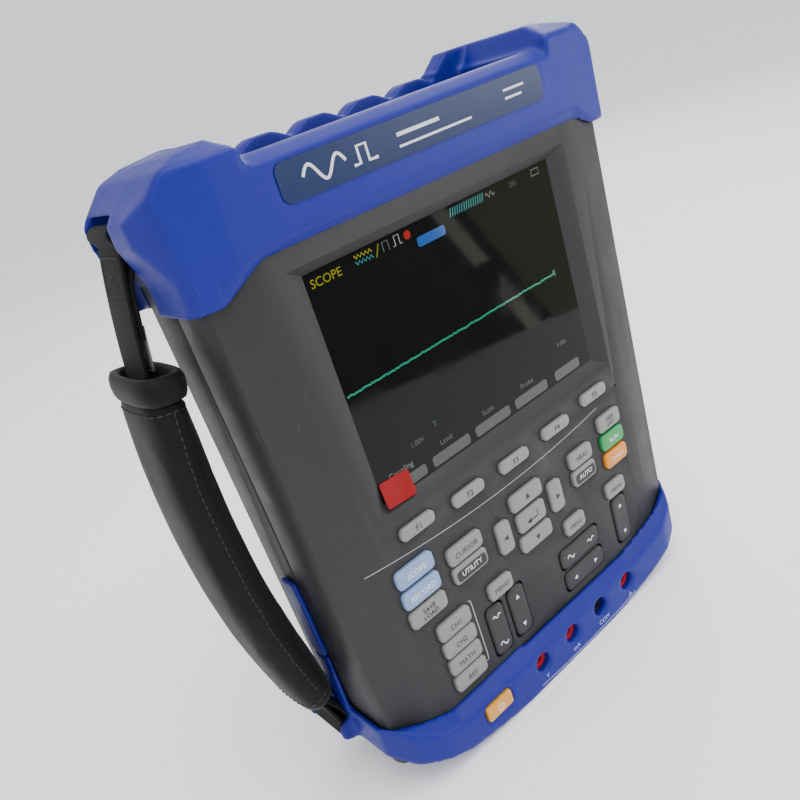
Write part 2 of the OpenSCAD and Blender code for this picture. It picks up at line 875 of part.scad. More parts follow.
module bnc() {
    base_z = shell_top_z;
    // threaded body and square flange
    translate([0, 0, base_z - 6])
        cylinder(r = bnc_body_r, h = 7);
    translate([-bnc_flange / 2, -bnc_flange / 2, base_z])
        cube([bnc_flange, bnc_flange, bnc_flange_t]);
    // bayonet barrel, relieved below its rim where the lugs stand, with its dielectric and centre contact
    difference() {
        translate([0, 0, base_z]) {
            cylinder(r = bnc_root_r, h = bnc_len);
            translate([0, 0, bnc_root_h])
                cylinder(r = bnc_r, h = bnc_len - bnc_root_h);
        }
        translate([0, 0, base_z + 4])
            cylinder(r = bnc_r - bnc_wall, h = bnc_len);
    }
    difference() {
        translate([0, 0, base_z + 3])
            cylinder(r = insulator_r, h = bnc_len - 5);
        translate([0, 0, base_z + 6])
            cylinder(r = contact_r, h = bnc_len);
    }
    // bayonet lugs
    rod_x(0, base_z + bnc_lug_z, bnc_lug_r, -bnc_lug_reach, 0.3 - bnc_root_r);
    rod_x(0, base_z + bnc_lug_z, bnc_lug_r, bnc_root_r - 0.3, bnc_lug_reach);
}

module bnc_connectors() {
    color([0.75, 0.76, 0.78])
        for (i = [-1:1])
            translate([bnc_x + i * bnc_pitch, bnc_y, 0])
                bnc();
}

module jack(i) {
    difference() {
        rod_y(jack_x(i), jack_z, jack_body_r, jack_face_y, jack_face_y + jack_len);
        rod_y(jack_x(i), jack_z, jack_bore_r, jack_face_y - 1, jack_face_y + jack_len - 3);
    }
}

module red_jacks() {
    color([0.75, 0.08, 0.1])
        for (i = [0, 1, 3])
            jack(i);
}

module common_jack() {
    color([0.08, 0.08, 0.08])
        jack(2);
}

module power_inlet() {
    color([0.08, 0.08, 0.08])
        difference() {
            box(-port_x, 14 - port_x, board_y + board_t, 12.5, 66, 80);
            rod_x(7.5, 73, 2.75, -port_x - 5, 10 - port_x);
        }
}

module usb_sockets() {
    color([0.75, 0.76, 0.78]) {
        difference() {
            box(port_x - 15, port_x, board_y + board_t, board_y + board_t + 6, port_low_z, port_low_z + 14);
            box(port_x - 11, port_x + 5, board_y + board_t + 0.6, board_y + board_t + 5.4,
                port_low_z + 0.7, port_low_z + 13.3);
        }
        difference() {
            box(port_x - 15, port_x, board_y + board_t, board_y + board_t + 4, 82, 90);
            box(port_x - 11, port_x + 5, board_y + board_t + 0.6, board_y + board_t + 3.4, 82.6, 89.4);
        }
    }
}

// ---------- rubber port covers ----------

cover_gap = 0.1;

module right_port_cover() {
    color([0.2, 0.24, 0.68])
        on_wall(1) {
            box(cover_gap, 2, -15, 9, 38, 106);
            port_block(right_port, -2, 0.5, 1, 2);
            // finger tab
            box(1.5, 5.5, -12, -3, 62, 77);
        }
}

module left_port_cover() {
    color([0.2, 0.24, 0.68])
        on_wall(-1) {
            box(cover_gap, 2, 2, 11, 59, 92);
            port_block(left_port, -1.5, 0.5, 1, 2);
        }
}

// ---------- strap ----------

// Arc of the strap between two depths and two heights; drawn in the left wall's frame.
module strap_ring(r0, r1, y0, y1, z0, z1) {
    intersection() {
        translate([strap_cx, y1, strap_cz])
            rotate([90, 0, 0])
                difference() {
                    cylinder(r = r1, h = y1 - y0, $fn = 180);
                    translate([0, 0, -1])
                        cylinder(r = r0, h = y1 - y0 + 2, $fn = 180);
                }
        box(-10, 60, y0 - 1, y1 + 1, z0, z1);
    }
}

module strap_webbing() {
    eye_r = bar_r + webbing_t;
    color([0.16, 0.17, 0.16])
        on_wall(-1)
            difference() {
                union() {
                    strap_ring(strap_r - webbing_t / 2, strap_r + webbing_t / 2,
                               strap_y - webbing_w / 2, strap_y + webbing_w / 2, low_bar_z, high_bar_z);
                    for (z = [low_bar_z, high_bar_z])
                        rod_y(bar_out, z, eye_r, strap_y - webbing_w / 2, strap_y + webbing_w / 2);
                }
                for (z = [low_bar_z, high_bar_z])
                    rod_y(bar_out, z, bar_r, strap_y - webbing_w, strap_y + webbing_w);
            }
}

module strap_pad() {
    tunnel_gap = 0.05;
    color([0.06, 0.06, 0.06])
        on_wall(-1)
            difference() {
                strap_ring(strap_r + pad_out - pad_t, strap_r + pad_out,
                           pad_y - pad_w / 2, pad_y + pad_w / 2, pad_z0, pad_z1);
                strap_ring(strap_r - webbing_t / 2 - tunnel_gap, strap_r + webbing_t / 2 + tunnel_gap,
                           strap_y - webbing_w / 2 - tunnel_gap, strap_y + webbing_w / 2 + tunnel_gap,
                           pad_z0 - 5, pad_z1 + 5);
                box(-10, pad_clear_x, -far_x, far_x, pad_z0 - 5, pad_z0 + 20);
            }
}

module strap_bars() {
    color([0.7, 0.7, 0.72])
        on_wall(-1)
            for (z = [low_bar_z, high_bar_z])
                rod_y(bar_out, z, bar_r, bar_y0, bar_y1);
}

for (k = KEYS)
    push_key(k);
for (r = ROCKERS)
    rocker_key(r);
key_power();
front_shell();
rear_shell();
case_gasket();
top_cap();
bottom_boot();
name_plate();
screen_window();
lcd_module();
screen_film_tab();
keypad_mat();
main_board();
battery_pack();
battery_cover();
battery_cover_screws();
case_screws();
tilt_stand();
stand_pins();
bnc_connectors();
red_jacks();
common_jack();
left_port_cover();
right_port_cover();
power_inlet();
usb_sockets();
strap_webbing();
strap_pad();
strap_bars();
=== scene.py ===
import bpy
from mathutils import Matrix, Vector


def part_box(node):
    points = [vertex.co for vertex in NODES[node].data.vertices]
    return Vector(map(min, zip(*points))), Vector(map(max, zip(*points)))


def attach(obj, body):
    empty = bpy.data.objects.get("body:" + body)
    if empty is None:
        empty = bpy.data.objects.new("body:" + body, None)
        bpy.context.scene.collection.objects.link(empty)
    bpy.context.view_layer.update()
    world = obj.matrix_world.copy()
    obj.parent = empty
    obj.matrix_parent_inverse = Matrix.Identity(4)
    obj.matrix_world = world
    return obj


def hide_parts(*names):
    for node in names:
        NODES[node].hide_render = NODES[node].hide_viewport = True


bl_info = {
    "name": "Handheld Oscilloscope",
    "version": (1, 0, 0),
    "blender": (4, 5, 0),
    "location": "View3D > Sidebar > Oscilloscope",
    "description": "Rubber caps, keypad, screen picture, strap and studio for a handheld oscilloscope",
    "category": "Object",
}

import math

import bmesh
import bpy
import numpy as np
from bpy.props import FloatProperty, FloatVectorProperty, IntProperty, PointerProperty
from mathutils import Matrix, Vector
from mathutils.bvhtree import BVHTree

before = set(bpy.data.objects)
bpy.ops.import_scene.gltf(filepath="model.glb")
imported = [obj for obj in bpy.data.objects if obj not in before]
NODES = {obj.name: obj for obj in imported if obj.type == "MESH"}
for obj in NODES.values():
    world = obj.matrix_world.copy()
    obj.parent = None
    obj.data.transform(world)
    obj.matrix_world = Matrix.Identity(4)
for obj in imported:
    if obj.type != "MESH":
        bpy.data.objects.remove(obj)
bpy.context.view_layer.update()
HOUSING = "housing"
MM = 0.001
SQUARE = ((-1, -1), (1, -1), (1, 1), (-1, 1))

# The case's own datums, in millimetres.
CASE_TOP_W = 181.0
SHELL_TOP = 214.0
TAPER = math.atan(4 / 210)
FACE_Y = -22.0
SCREEN_X, SCREEN_Z = 1.0, 152.0
SCREEN_W, SCREEN_H = 115.0, 84.0
WINDOW_Y = -18.5
KEY_FRONT_Y, KEY_BACK_Y = -23.8, -18.5
KEY_CORNER, KEY_DOME, KEY_EAR = 2.1, 0.25, 1.0
ROCKER_FRONT_Y, ROCKER_AXIS_Y = -22.9, -18.5
JACK_PITCH = 19.05
BNC_X = (-36, -2, 32)
STRAP_MID_Z = 123.0
STRAP_END = 99.0
STRAP_BOW = 15.0
STRAP_Y = 14.0
PAD_Y = 9.5
PAD_CLEAR = 2.9
PAD_LOW, PAD_HIGH, COLLAR = 43.4, 182.6, 8.5
PAD_SQUARE, PAD_COUNT = 3.2, 48
PAD_SLACK = 1.2
BAR_OUT = 4.6
BAR_R = 2.0
BAR_WRAP = BAR_R + 0.75
STRAP_R = (STRAP_END ** 2 + STRAP_BOW ** 2) / (2 * STRAP_BOW)


# ---------------------------------------------------------------- settings


def colour(name, description, default):
    return FloatVectorProperty(name=name, description=description, subtype="COLOR", size=3,
                               min=0, max=1, default=default)


def length(name, description, default_mm):
    return FloatProperty(name=name, description=description, unit="LENGTH", min=0,
                         default=default_mm * MM)


class CaseSettings(bpy.types.PropertyGroup):
    front_colour: colour("Front shell", "Colour of the front shell", (0.0165, 0.0165, 0.0172))
    rear_colour: colour("Rear shell", "Colour of the rear shell", (0.006, 0.006, 0.0065))
    rubber_colour: colour("End caps", "Colour of the rubber caps", (0.0035, 0.0065, 0.175))
    grain: length("Mould grain", "Size of the grain on the shells", 0.45)
    edge_round: length("Edge round", "Rounding of the shell edges", 0.5)
    cap_voxel: length("Cap mesh size", "Mesh size of the rubber caps", 1.0)
    cap_smoothing: IntProperty(name="Cap smoothing", description="Passes that round the caps",
                               min=0, default=9)


class KeySettings(bpy.types.PropertyGroup):
    key_colour: colour("Keys", "Colour of the light keys", (0.17, 0.177, 0.158))
    mode_colour: colour("Mode keys", "Colour of the pale blue keys", (0.17, 0.25, 0.42))
    run_colour: colour("Run key", "Colour of the run key", (0.012, 0.24, 0.055))
    single_colour: colour("Single key", "Colour of the single key", (0.6, 0.2, 0.008))
    power_colour: colour("Power key", "Colour of the power key", (0.55, 0.24, 0.006))
    rocker_colour: colour("Rockers", "Colour of the rocker keys", (0.011, 0.011, 0.0115))
    edge_radius: length("Key edge", "Rounding of a key's front edge", 1.1)


class ScreenSettings(bpy.types.PropertyGroup):
    window_colour: colour("Window", "Colour of the dark window", (0.0035, 0.0042, 0.004))
    trace_colour: colour("Trace", "Colour of the waveform", (0.02, 0.42, 0.26))
    film_colour: colour("Film tab", "Colour of the film's pull tab", (0.22, 0.002, 0.003))
    glow: FloatProperty(name="Glow", description="Strength of the display's light", min=0, default=0.9)


class StrapSettings(bpy.types.PropertyGroup):
    pad_colour: colour("Pad", "Colour of the padded sleeve", (0.0018, 0.0018, 0.002))
    web_colour: colour("Webbing", "Colour of the webbing", (0.0035, 0.0036, 0.0036))
    web_width: length("Webbing width", "Width of the webbing", 18)
    web_thickness: length("Webbing thickness", "Thickness of the webbing", 1.4)
    pad_width: length("Pad width", "Width of the pad", 34)
    pad_out: length("Pad outward", "Thickness of the pad outward of the webbing", 7.4)
    pad_in: length("Pad inward", "Thickness of the pad inward of the webbing", 9)
    stitch_pitch: length("Stitch pitch", "Distance from stitch to stitch", 2.6)


class StageSettings(bpy.types.PropertyGroup):
    floor_colour: colour("Floor", "Colour of the floor", (0.93, 0.93, 0.925))
    floor_glow: FloatProperty(name="Floor glow", description="Light that the floor itself gives", min=0,
                              default=0.1)
    light: FloatProperty(name="Light", description="Strength of all the lights", min=0, default=1.0)


# ---------------------------------------------------------------- meshes


def added(name, data):
    """A new object in the scene."""
    obj = bpy.data.objects.new(name, data)
    bpy.context.scene.collection.objects.link(obj)
    return obj


def smoothed(obj):
    """Shades every face smooth."""
    obj.data.polygons.foreach_set("use_smooth", [True] * len(obj.data.polygons))
    return obj


def piece(name, verts, faces, materials, face_slots=None, uvs=None, smooth=True, recalc=True):
    """A mesh object at the origin from points in millimetres."""
    mesh = bpy.data.meshes.new(name)
    mesh.from_pydata([(x * MM, y * MM, z * MM) for x, y, z in verts], [], [tuple(f) for f in faces])
    for m in materials:
        mesh.materials.append(m)
    if face_slots is not None:
        mesh.polygons.foreach_set("material_index", face_slots)
    if uvs is not None:
        layer = mesh.uv_layers.new(name="UVMap")
        for loop in mesh.loops:
            layer.data[loop.index].uv = uvs[loop.vertex_index]
    mesh.polygons.foreach_set("use_smooth", [smooth] * len(mesh.polygons))
    if recalc:
        bm = bmesh.new()
        bm.from_mesh(mesh)
        bmesh.ops.recalc_face_normals(bm, faces=bm.faces)
        bm.to_mesh(mesh)
        bm.free()
    mesh.update()
    return added(name, mesh)


def settle(obj, body, nodes=()):
    """Lets a finished piece ride on its body and stand for CAD nodes."""
    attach(obj, body)
    if nodes:
        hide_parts(*nodes)
    return obj


def baked(obj, name):
    """A plain mesh copy of an object with its modifiers worked in; the object is removed."""
    bpy.context.view_layer.update()
    graph = bpy.context.evaluated_depsgraph_get()
    mesh = bpy.data.meshes.new_from_object(obj.evaluated_get(graph))
    bpy.data.objects.remove(obj)
    mesh.name = name
    return added(name, mesh)


def loft(rings, closed=False):
    """Points and faces of a skin through rings of equal count: ends shut by fans, or joined round."""
    n, count = len(rings[0]), len(rings)
    verts = [tuple(p) for ring in rings for p in ring]
    faces = []
    for k in range(count if closed else count - 1):
        a, b = k * n, (k + 1) % count * n
        faces += [(a + i, a + (i + 1) % n, b + (i + 1) % n, b + i) for i in range(n)]
    for ring, base in () if closed else ((rings[0], 0), (rings[-1], (count - 1) * n)):
        centre = len(verts)
        verts.append(tuple(np.mean(np.array(ring, float), axis=0)))
        faces += [(base + i, base + (i + 1) % n, centre) for i in range(n)]
    return verts, faces


def rounded_outline(w, h, r, per_corner=7):
    """Points (x, z) of a rounded rectangle round the origin."""
    r = max(min(r, w / 2 - 0.01, h / 2 - 0.01), 0.05)
    points = []
    for cx, cz, start in ((w / 2 - r, h / 2 - r, 0), (r - w / 2, h / 2 - r, 90),
                          (r - w / 2, r - h / 2, 180), (w / 2 - r, r - h / 2, 270)):
        for i in range(per_corner):
            a = math.radians(start + 90 * i / (per_corner - 1))
            points.append((cx + r * math.cos(a), cz + r * math.sin(a)))
    return points


def softened(node, name, voxel, passes, material, body=HOUSING):
    """A rubber copy of a CAD node: one even skin with its edges rounded."""
    obj = added(name, NODES[node].data.copy())
    bm = bmesh.new()
    bm.from_mesh(obj.data)
    bmesh.ops.remove_doubles(bm, verts=bm.verts, dist=1e-6)
    bm.to_mesh(obj.data)
    bm.free()
    remesh = obj.modifiers.new("skin", "REMESH")
    remesh.mode = "VOXEL"
    remesh.voxel_size = voxel
    remesh.use_smooth_shade = True
    if passes:
        rounding = obj.modifiers.new("round", "SMOOTH")
        rounding.factor = 0.5
        rounding.iterations = passes
    obj = smoothed(baked(obj, name))
    obj.data.materials.clear()
    obj.data.materials.append(material)
    return settle(obj, body, [node])


def finish_node(node, material):
    """Gives a CAD node its finish and leaves its shape alone."""
    obj = NODES[node]
    obj.data.materials.clear()
    obj.data.materials.append(material)
    return obj


def edged(node, width, material):
    """Keeps a CAD node, with small rounded edges and its own finish."""
    obj = smoothed(finish_node(node, material))
    weld = obj.modifiers.new("weld", "WELD")
    weld.merge_threshold = 2e-6
    flat = obj.modifiers.new("flat", "DECIMATE")
    flat.decimate_type = "DISSOLVE"
    flat.angle_limit = math.radians(1.5)
    bevel = obj.modifiers.new("edge", "BEVEL")
    bevel.width = width
    bevel.segments = 2
    bevel.limit_method = "ANGLE"
    bevel.angle_limit = math.radians(30)
    bevel.harden_normals = True
    bevel.use_clamp_overlap = True
    return obj


class Ink:
    """Collects thin printed shapes that stand forward of one plane and makes one piece of them."""

    def __init__(self, y, thick):
        self.y, self.thick = y, thick
        self.verts, self.faces, self.slots, self.materials = [], [], [], []

    def add(self, verts, faces, material):
        if material not in self.materials:
            self.materials.append(material)
        base = len(self.verts)
        self.verts += verts
        self.faces += [[base + i for i in f] for f in faces]
        self.slots += [self.materials.index(material)] * len(faces)

    def plate(self, outline, material):
        """A flat shape from its (x, z) outline."""
        n = len(outline)
        verts = [(x, self.y - t, z) for t in (0, self.thick) for x, z in outline]
        faces = [tuple(range(n)), tuple(range(2 * n - 1, n - 1, -1))]
        faces += [(i, (i + 1) % n, n + (i + 1) % n, n + i) for i in range(n)]
        self.add(verts, faces, material)

    def pill(self, cx, cz, w, h, corner, material):
        """A field with rounded corners."""
        self.plate([(cx + x, cz + z) for x, z in rounded_outline(w, h, corner)], material)

    def bar(self, x, z, w, h, material):
        self.plate([(x + i * w / 2, z + k * h / 2) for i, k in SQUARE], material)

    def stroke(self, points, width, material):
        """A line of even width through (x, z) points, as one strip."""
        left, right = [], []
        for i, (x, z) in enumerate(points):
            a, b = points[max(i - 1, 0)], points[min(i + 1, len(points) - 1)]
            d = math.hypot(b[0] - a[0], b[1] - a[1]) or 1
            nx, nz = -(b[1] - a[1]) / d * width / 2, (b[0] - a[0]) / d * width / 2
            left.append((x + nx, z + nz))
            right.append((x - nx, z - nz))
        n = len(points)
        verts = [(x, self.y - t, z) for t in (0, self.thick) for side in (left, right) for x, z in side]
        faces = []
        for i in range(n - 1):
            l0, r0, l1, r1 = i, n + i, i + 1, n + i + 1
            faces += [(l0, l1, r1, r0), (2 * n + l0, 2 * n + r0, 2 * n + r1, 2 * n + l1),
                      (l0, 2 * n + l0, 2 * n + l1, l1), (r0, r1, 2 * n + r1, 2 * n + r0)]
        faces += [(0, n, 3 * n, 2 * n), (n - 1, 3 * n - 1, 4 * n - 1, 2 * n - 1)]
        self.add(verts, faces, material)

    def words(self, text, size, x, z, material, lift=0.0):
        """Generic lettering in the built-in face."""
        curve = bpy.data.curves.new("lettering", "FONT")
        curve.body = text
        curve.size = size
        curve.align_x = curve.align_y = "CENTER"
        curve.extrude = self.thick / 2
        curve.resolution_u = 3
        curve.space_line = 0.9
        obj = added("lettering", curve)
        bpy.context.view_layer.update()
        mesh = bpy.data.meshes.new_from_object(obj.evaluated_get(bpy.context.evaluated_depsgraph_get()))
        bm = bmesh.new()
        bm.from_mesh(mesh)
        bmesh.ops.remove_doubles(bm, verts=bm.verts, dist=1e-4)
        middle = self.y - lift - self.thick / 2
        verts = [(x + v.co.x, middle - v.co.z, z + v.co.y) for v in bm.verts]
        faces = [[v.index for v in f.verts] for f in bm.faces]
        bm.free()
        self.add(verts, faces, material)
        bpy.data.objects.remove(obj)
        bpy.data.curves.remove(curve)
        bpy.data.meshes.remove(mesh)

    def make(self, name, body):
        obj = piece(name, self.verts, self.faces, self.materials, self.slots, smooth=False)
        return settle(obj, body)


def from_wall(out, y, z, side=-1):
    """Row-frame point of one on the tapered side wall: out from its surface, depth, height."""
    h = z - SHELL_TOP
    c, s = math.cos(TAPER), math.sin(TAPER)
    return side * (CASE_TOP_W / 2 + out * c + h * s), y, SHELL_TOP - out * s + h * c


# ---------------------------------------------------------------- node groups


GROUPS = {}


def shared(maker):
    """Each node group is built once, by its own maker."""
    if maker not in GROUPS:
        GROUPS[maker] = maker()
    return GROUPS[maker]


def node_group(name, kind, inputs, outputs):
    """A node group with named sockets, and its input and output nodes."""
    tree = bpy.data.node_groups.new(name, kind)
    for label, socket_type, default in inputs:
        socket = tree.interface.new_socket(name=label, in_out="INPUT", socket_type=socket_type)
        if default is not None:
            socket.default_value = default
    for label, socket_type in outputs:
        tree.interface.new_socket(name=label, in_out="OUTPUT", socket_type=socket_type)
    return tree, tree.nodes.new("NodeGroupInput"), tree.nodes.new("NodeGroupOutput")


def shader_group(name, values, outputs):
    """A shader group that reads a vector and number values, and puts out numbers."""
    return node_group(name, "ShaderNodeTree", [("Vector", "NodeSocketVector", None)]
                      + [(label, "NodeSocketFloat", default) for label, default in values],
                      [(label, "NodeSocketFloat") for label in outputs])


def math_node(tree, operation, a, b=None, clamp=False):
    node = tree.nodes.new("ShaderNodeMath")
    node.operation = operation
    node.use_clamp = clamp
    for socket, value in zip(node.inputs, (a, b)):
        if value is None:
            continue
        if isinstance(value, (int, float)):
            socket.default_value = value
        else:
            tree.links.new(value, socket)
    return node.outputs[0]


def noise(tree, vector, scale, detail=2.0, rough=0.5):
    node = tree.nodes.new("ShaderNodeTexNoise")
    node.inputs["Detail"].default_value = detail
    node.inputs["Roughness"].default_value = rough
    tree.links.new(vector, node.inputs["Vector"])
    if isinstance(scale, (int, float)):
        node.inputs["Scale"].default_value = scale
    else:
        tree.links.new(scale, node.inputs["Scale"])
    return node.outputs["Fac"]


def ranged(tree, value, low, high, to_low=0.0, to_high=1.0):
    node = tree.nodes.new("ShaderNodeMapRange")
    node.inputs["From Min"].default_value = low
    node.inputs["From Max"].default_value = high
    node.inputs["To Min"].default_value = to_low
    node.inputs["To Max"].default_value = to_high
    tree.links.new(value, node.inputs["Value"])
    return node.outputs["Result"]


def mould_grain():
    """Fine moulded grain with slow mottling, for plastics and rubbers."""
    tree, given, out = shader_group("mould_grain", [("Grain", 0.45), ("Mottle", 14.0)], ["Height", "Cloud"])
    fine = math_node(tree, "DIVIDE", 1000.0, given.outputs["Grain"])
    slow = math_node(tree, "DIVIDE", 1000.0, given.outputs["Mottle"])
    grain = noise(tree, given.outputs["Vector"], fine, 3.0, 0.6)
    cloud = noise(tree, given.outputs["Vector"], slow, 4.0, 0.55)
    tree.links.new(grain, out.inputs["Height"])
    tree.links.new(cloud, out.inputs["Cloud"])
    return tree


def handling_marks():
    """Rubbed patches and fine hair scratches left by handling."""
    tree, given, out = shader_group("handling_marks", [("Amount", 0.5)], ["Rub", "Scratch"])
    patch = ranged(tree, noise(tree, given.outputs["Vector"], 38.0, 5.0, 0.62), 0.52, 0.72)
    stretch = tree.nodes.new("ShaderNodeMapping")
    stretch.inputs["Rotation"].default_value = (0.3, 0.5, 0.7)
    stretch.inputs["Scale"].default_value = (2600.0, 60.0, 140.0)
    tree.links.new(given.outputs["Vector"], stretch.inputs["Vector"])
    hair = ranged(tree, noise(tree, stretch.outputs["Vector"], 1.0, 1.0, 0.4), 0.72, 0.8)
    tree.links.new(math_node(tree, "MULTIPLY", patch, given.outputs["Amount"]), out.inputs["Rub"])
    tree.links.new(math_node(tree, "MULTIPLY", hair, given.outputs["Amount"]), out.inputs["Scratch"])
    return tree


def thread_weave():
    """Plain weave of two thread directions, from surface coordinates in metres."""
    tree, given, out = shader_group("thread_weave", [("Thread", 0.8), ("Rib", 0.0)], ["Height", "Shade"])
    split = tree.nodes.new("ShaderNodeSeparateXYZ")
    tree.links.new(given.outputs["Vector"], split.inputs[0])
    step = math_node(tree, "DIVIDE", 2000.0 * math.pi, given.outputs["Thread"])
    u = math_node(tree, "MULTIPLY", split.outputs["X"], step)
    v = math_node(tree, "MULTIPLY", split.outputs["Y"], step)
    su, sv = math_node(tree, "SINE", u), math_node(tree, "SINE", v)
    cross = math_node(tree, "MULTIPLY", su, sv)
    rib = math_node(tree, "MULTIPLY", sv, given.outputs["Rib"])
    height = math_node(tree, "ADD", math_node(tree, "MULTIPLY", cross, 0.5), rib)
    fuzz = noise(tree, given.outputs["Vector"], 2400.0, 2.0, 0.6)
    full = math_node(tree, "ADD", height, fuzz)
    tree.links.new(full, out.inputs["Height"])
    tree.links.new(ranged(tree, full, -0.4, 1.4, 0.0, 1.0), out.inputs["Shade"])
    return tree


class Finish:
    """A material under construction: Principled shader, Object coordinates and a few helpers."""

    def __init__(self, name, base, rough, coat=0.0, metallic=0.0, specular=0.5, use_uv=False):
        self.material = bpy.data.materials.new(name)
        self.material.use_nodes = True
        self.tree = self.material.node_tree
        self.shader = self.tree.nodes["Principled BSDF"]
        self.base = tuple(base)
        self.material.diffuse_color = (*self.base, 1)
        self.shader.inputs["Base Color"].default_value = (*self.base, 1)
        self.shader.inputs["Roughness"].default_value = rough
        self.shader.inputs["Metallic"].default_value = metallic
        self.shader.inputs["Coat Weight"].default_value = coat
        self.shader.inputs["Coat Roughness"].default_value = 0.12
        self.shader.inputs["Specular IOR Level"].default_value = specular
        coords = self.tree.nodes.new("ShaderNodeTexCoord")
        self.vector = coords.outputs["UV" if use_uv else "Object"]

    def group(self, maker, **values):
        node = self.tree.nodes.new("ShaderNodeGroup")
        node.node_tree = shared(maker)
        self.tree.links.new(self.vector, node.inputs["Vector"])
        for key, value in values.items():
            node.inputs[key].default_value = value
        return node

    def tint(self, factor, colour_to, share=1.0, base_socket=None):
        """Mixes the base colour towards another by a factor socket."""
        mix = self.tree.nodes.new("ShaderNodeMix")
        mix.data_type = "RGBA"
        self.tree.links.new(math_node(self.tree, "MULTIPLY", factor, share, True), mix.inputs["Factor"])
        if base_socket is None:
            mix.inputs["A"].default_value = (*self.base, 1)
        else:
            self.tree.links.new(base_socket, mix.inputs["A"])
        mix.inputs["B"].default_value = (*colour_to, 1)
        self.tree.links.new(mix.outputs["Result"], self.shader.inputs["Base Color"])
        return mix.outputs["Result"]

    def roughen(self, factor, low, high):
        self.tree.links.new(ranged(self.tree, factor, 0, 1, low, high), self.shader.inputs["Roughness"])

    def bump(self, height, distance_mm):
        node = self.tree.nodes.new("ShaderNodeBump")
        node.inputs["Distance"].default_value = distance_mm * MM
        node.inputs["Strength"].default_value = 1.0
        self.tree.links.new(height, node.inputs["Height"])
        self.tree.links.new(node.outputs["Normal"], self.shader.inputs["Normal"])


def shade(base, k):
    return tuple(min(1.0, c * k) for c in base)


def moulded(name, base, rough, grain=0.45, depth=0.05, marks=0.5, coat=0.0, specular=0.5):
    """Moulded plastic or rubber: grain, slow mottling, rubbed patches and hair scratches."""
    f = Finish(name, base, rough, coat, specular=specular)
    grain_node = f.group(mould_grain, Grain=grain, Mottle=11.0)
    hand = f.group(handling_marks, Amount=marks)
    first = f.tint(grain_node.outputs["Cloud"], shade(base, 1.22), 0.6)
    second = f.tint(hand.outputs["Rub"], shade(base, 1.35), 0.5, first)
    pale = tuple(c * 0.6 + 0.12 for c in base)
    f.tint(hand.outputs["Scratch"], pale, 0.35, second)
    f.roughen(math_node(f.tree, "SUBTRACT", grain_node.outputs["Cloud"], hand.outputs["Rub"], True),
              rough - 0.1, min(1.0, rough + 0.1))
    f.bump(grain_node.outputs["Height"], depth)
    return f.material


def metal(name, base, rough, grain=0.2):
    """Plated metal with fine brushing."""
    f = Finish(name, base, rough, metallic=1.0)
    grain_node = f.group(mould_grain, Grain=grain, Mottle=6.0)
    f.tint(grain_node.outputs["Cloud"], shade(base, 0.78), 0.7)
    f.roughen(grain_node.outputs["Cloud"], rough * 0.7, min(1.0, rough * 1.5))
    f.bump(grain_node.outputs["Height"], 0.01)
    return f.material


def printed(name, base):
    """Printing ink with slightly uneven cover."""
    f = Finish(name, base, 0.5)
    cloud = f.group(mould_grain, Grain=0.12, Mottle=1.5)
    f.tint(cloud.outputs["Cloud"], shade(base, 0.75), 0.7)
    f.bump(cloud.outputs["Height"], 0.01)
    return f.material


def glowing(name, base, strength, window):
    """A lit area of the display seen under the dark window, with its dot pitch."""
    f = Finish(name, window, 0.09, coat=0.3)
    dots = f.group(thread_weave, Thread=0.36, Rib=0.15)
    mix = f.tree.nodes.new("ShaderNodeMix")
    mix.data_type = "RGBA"
    f.tree.links.new(dots.outputs["Shade"], mix.inputs["Factor"])
    mix.inputs["A"].default_value = (*shade(base, 0.72), 1)
    mix.inputs["B"].default_value = (*base, 1)
    f.tree.links.new(mix.outputs["Result"], f.shader.inputs["Emission Color"])
    f.shader.inputs["Emission Strength"].default_value = strength
    return f.material


MATERIALS = {}


def look(name, maker, *args, **kw):
    """Each finish is made once and shared by the pieces that wear it."""
    if name not in MATERIALS:
        MATERIALS[name] = maker(name, *args, **kw)
    return MATERIALS[name]


def settings():
    return bpy.context.scene.oscilloscope


def steel_look():
    return look("plated_steel", metal, (0.55, 0.55, 0.56), 0.3)


def ink_look(name, base):
    return look("ink_" + name, printed, base)


def white_ink():
    return ink_look("white", (0.74, 0.75, 0.76))


# ---------------------------------------------------------------- geometry node trees


def geometry_tree(name, inputs):
    ends = ("Geometry", "NodeSocketGeometry")
    return node_group(name, "GeometryNodeTree", [(*ends, None)] + inputs, [ends])


def set_inputs(modifier, values):
    """Sets a tree's named inputs by their socket identifiers."""
    for item in modifier.node_group.interface.items_tree:
        if item.item_type == "SOCKET" and item.in_out == "INPUT" and item.name in values:
            modifier[item.identifier] = values[item.name]


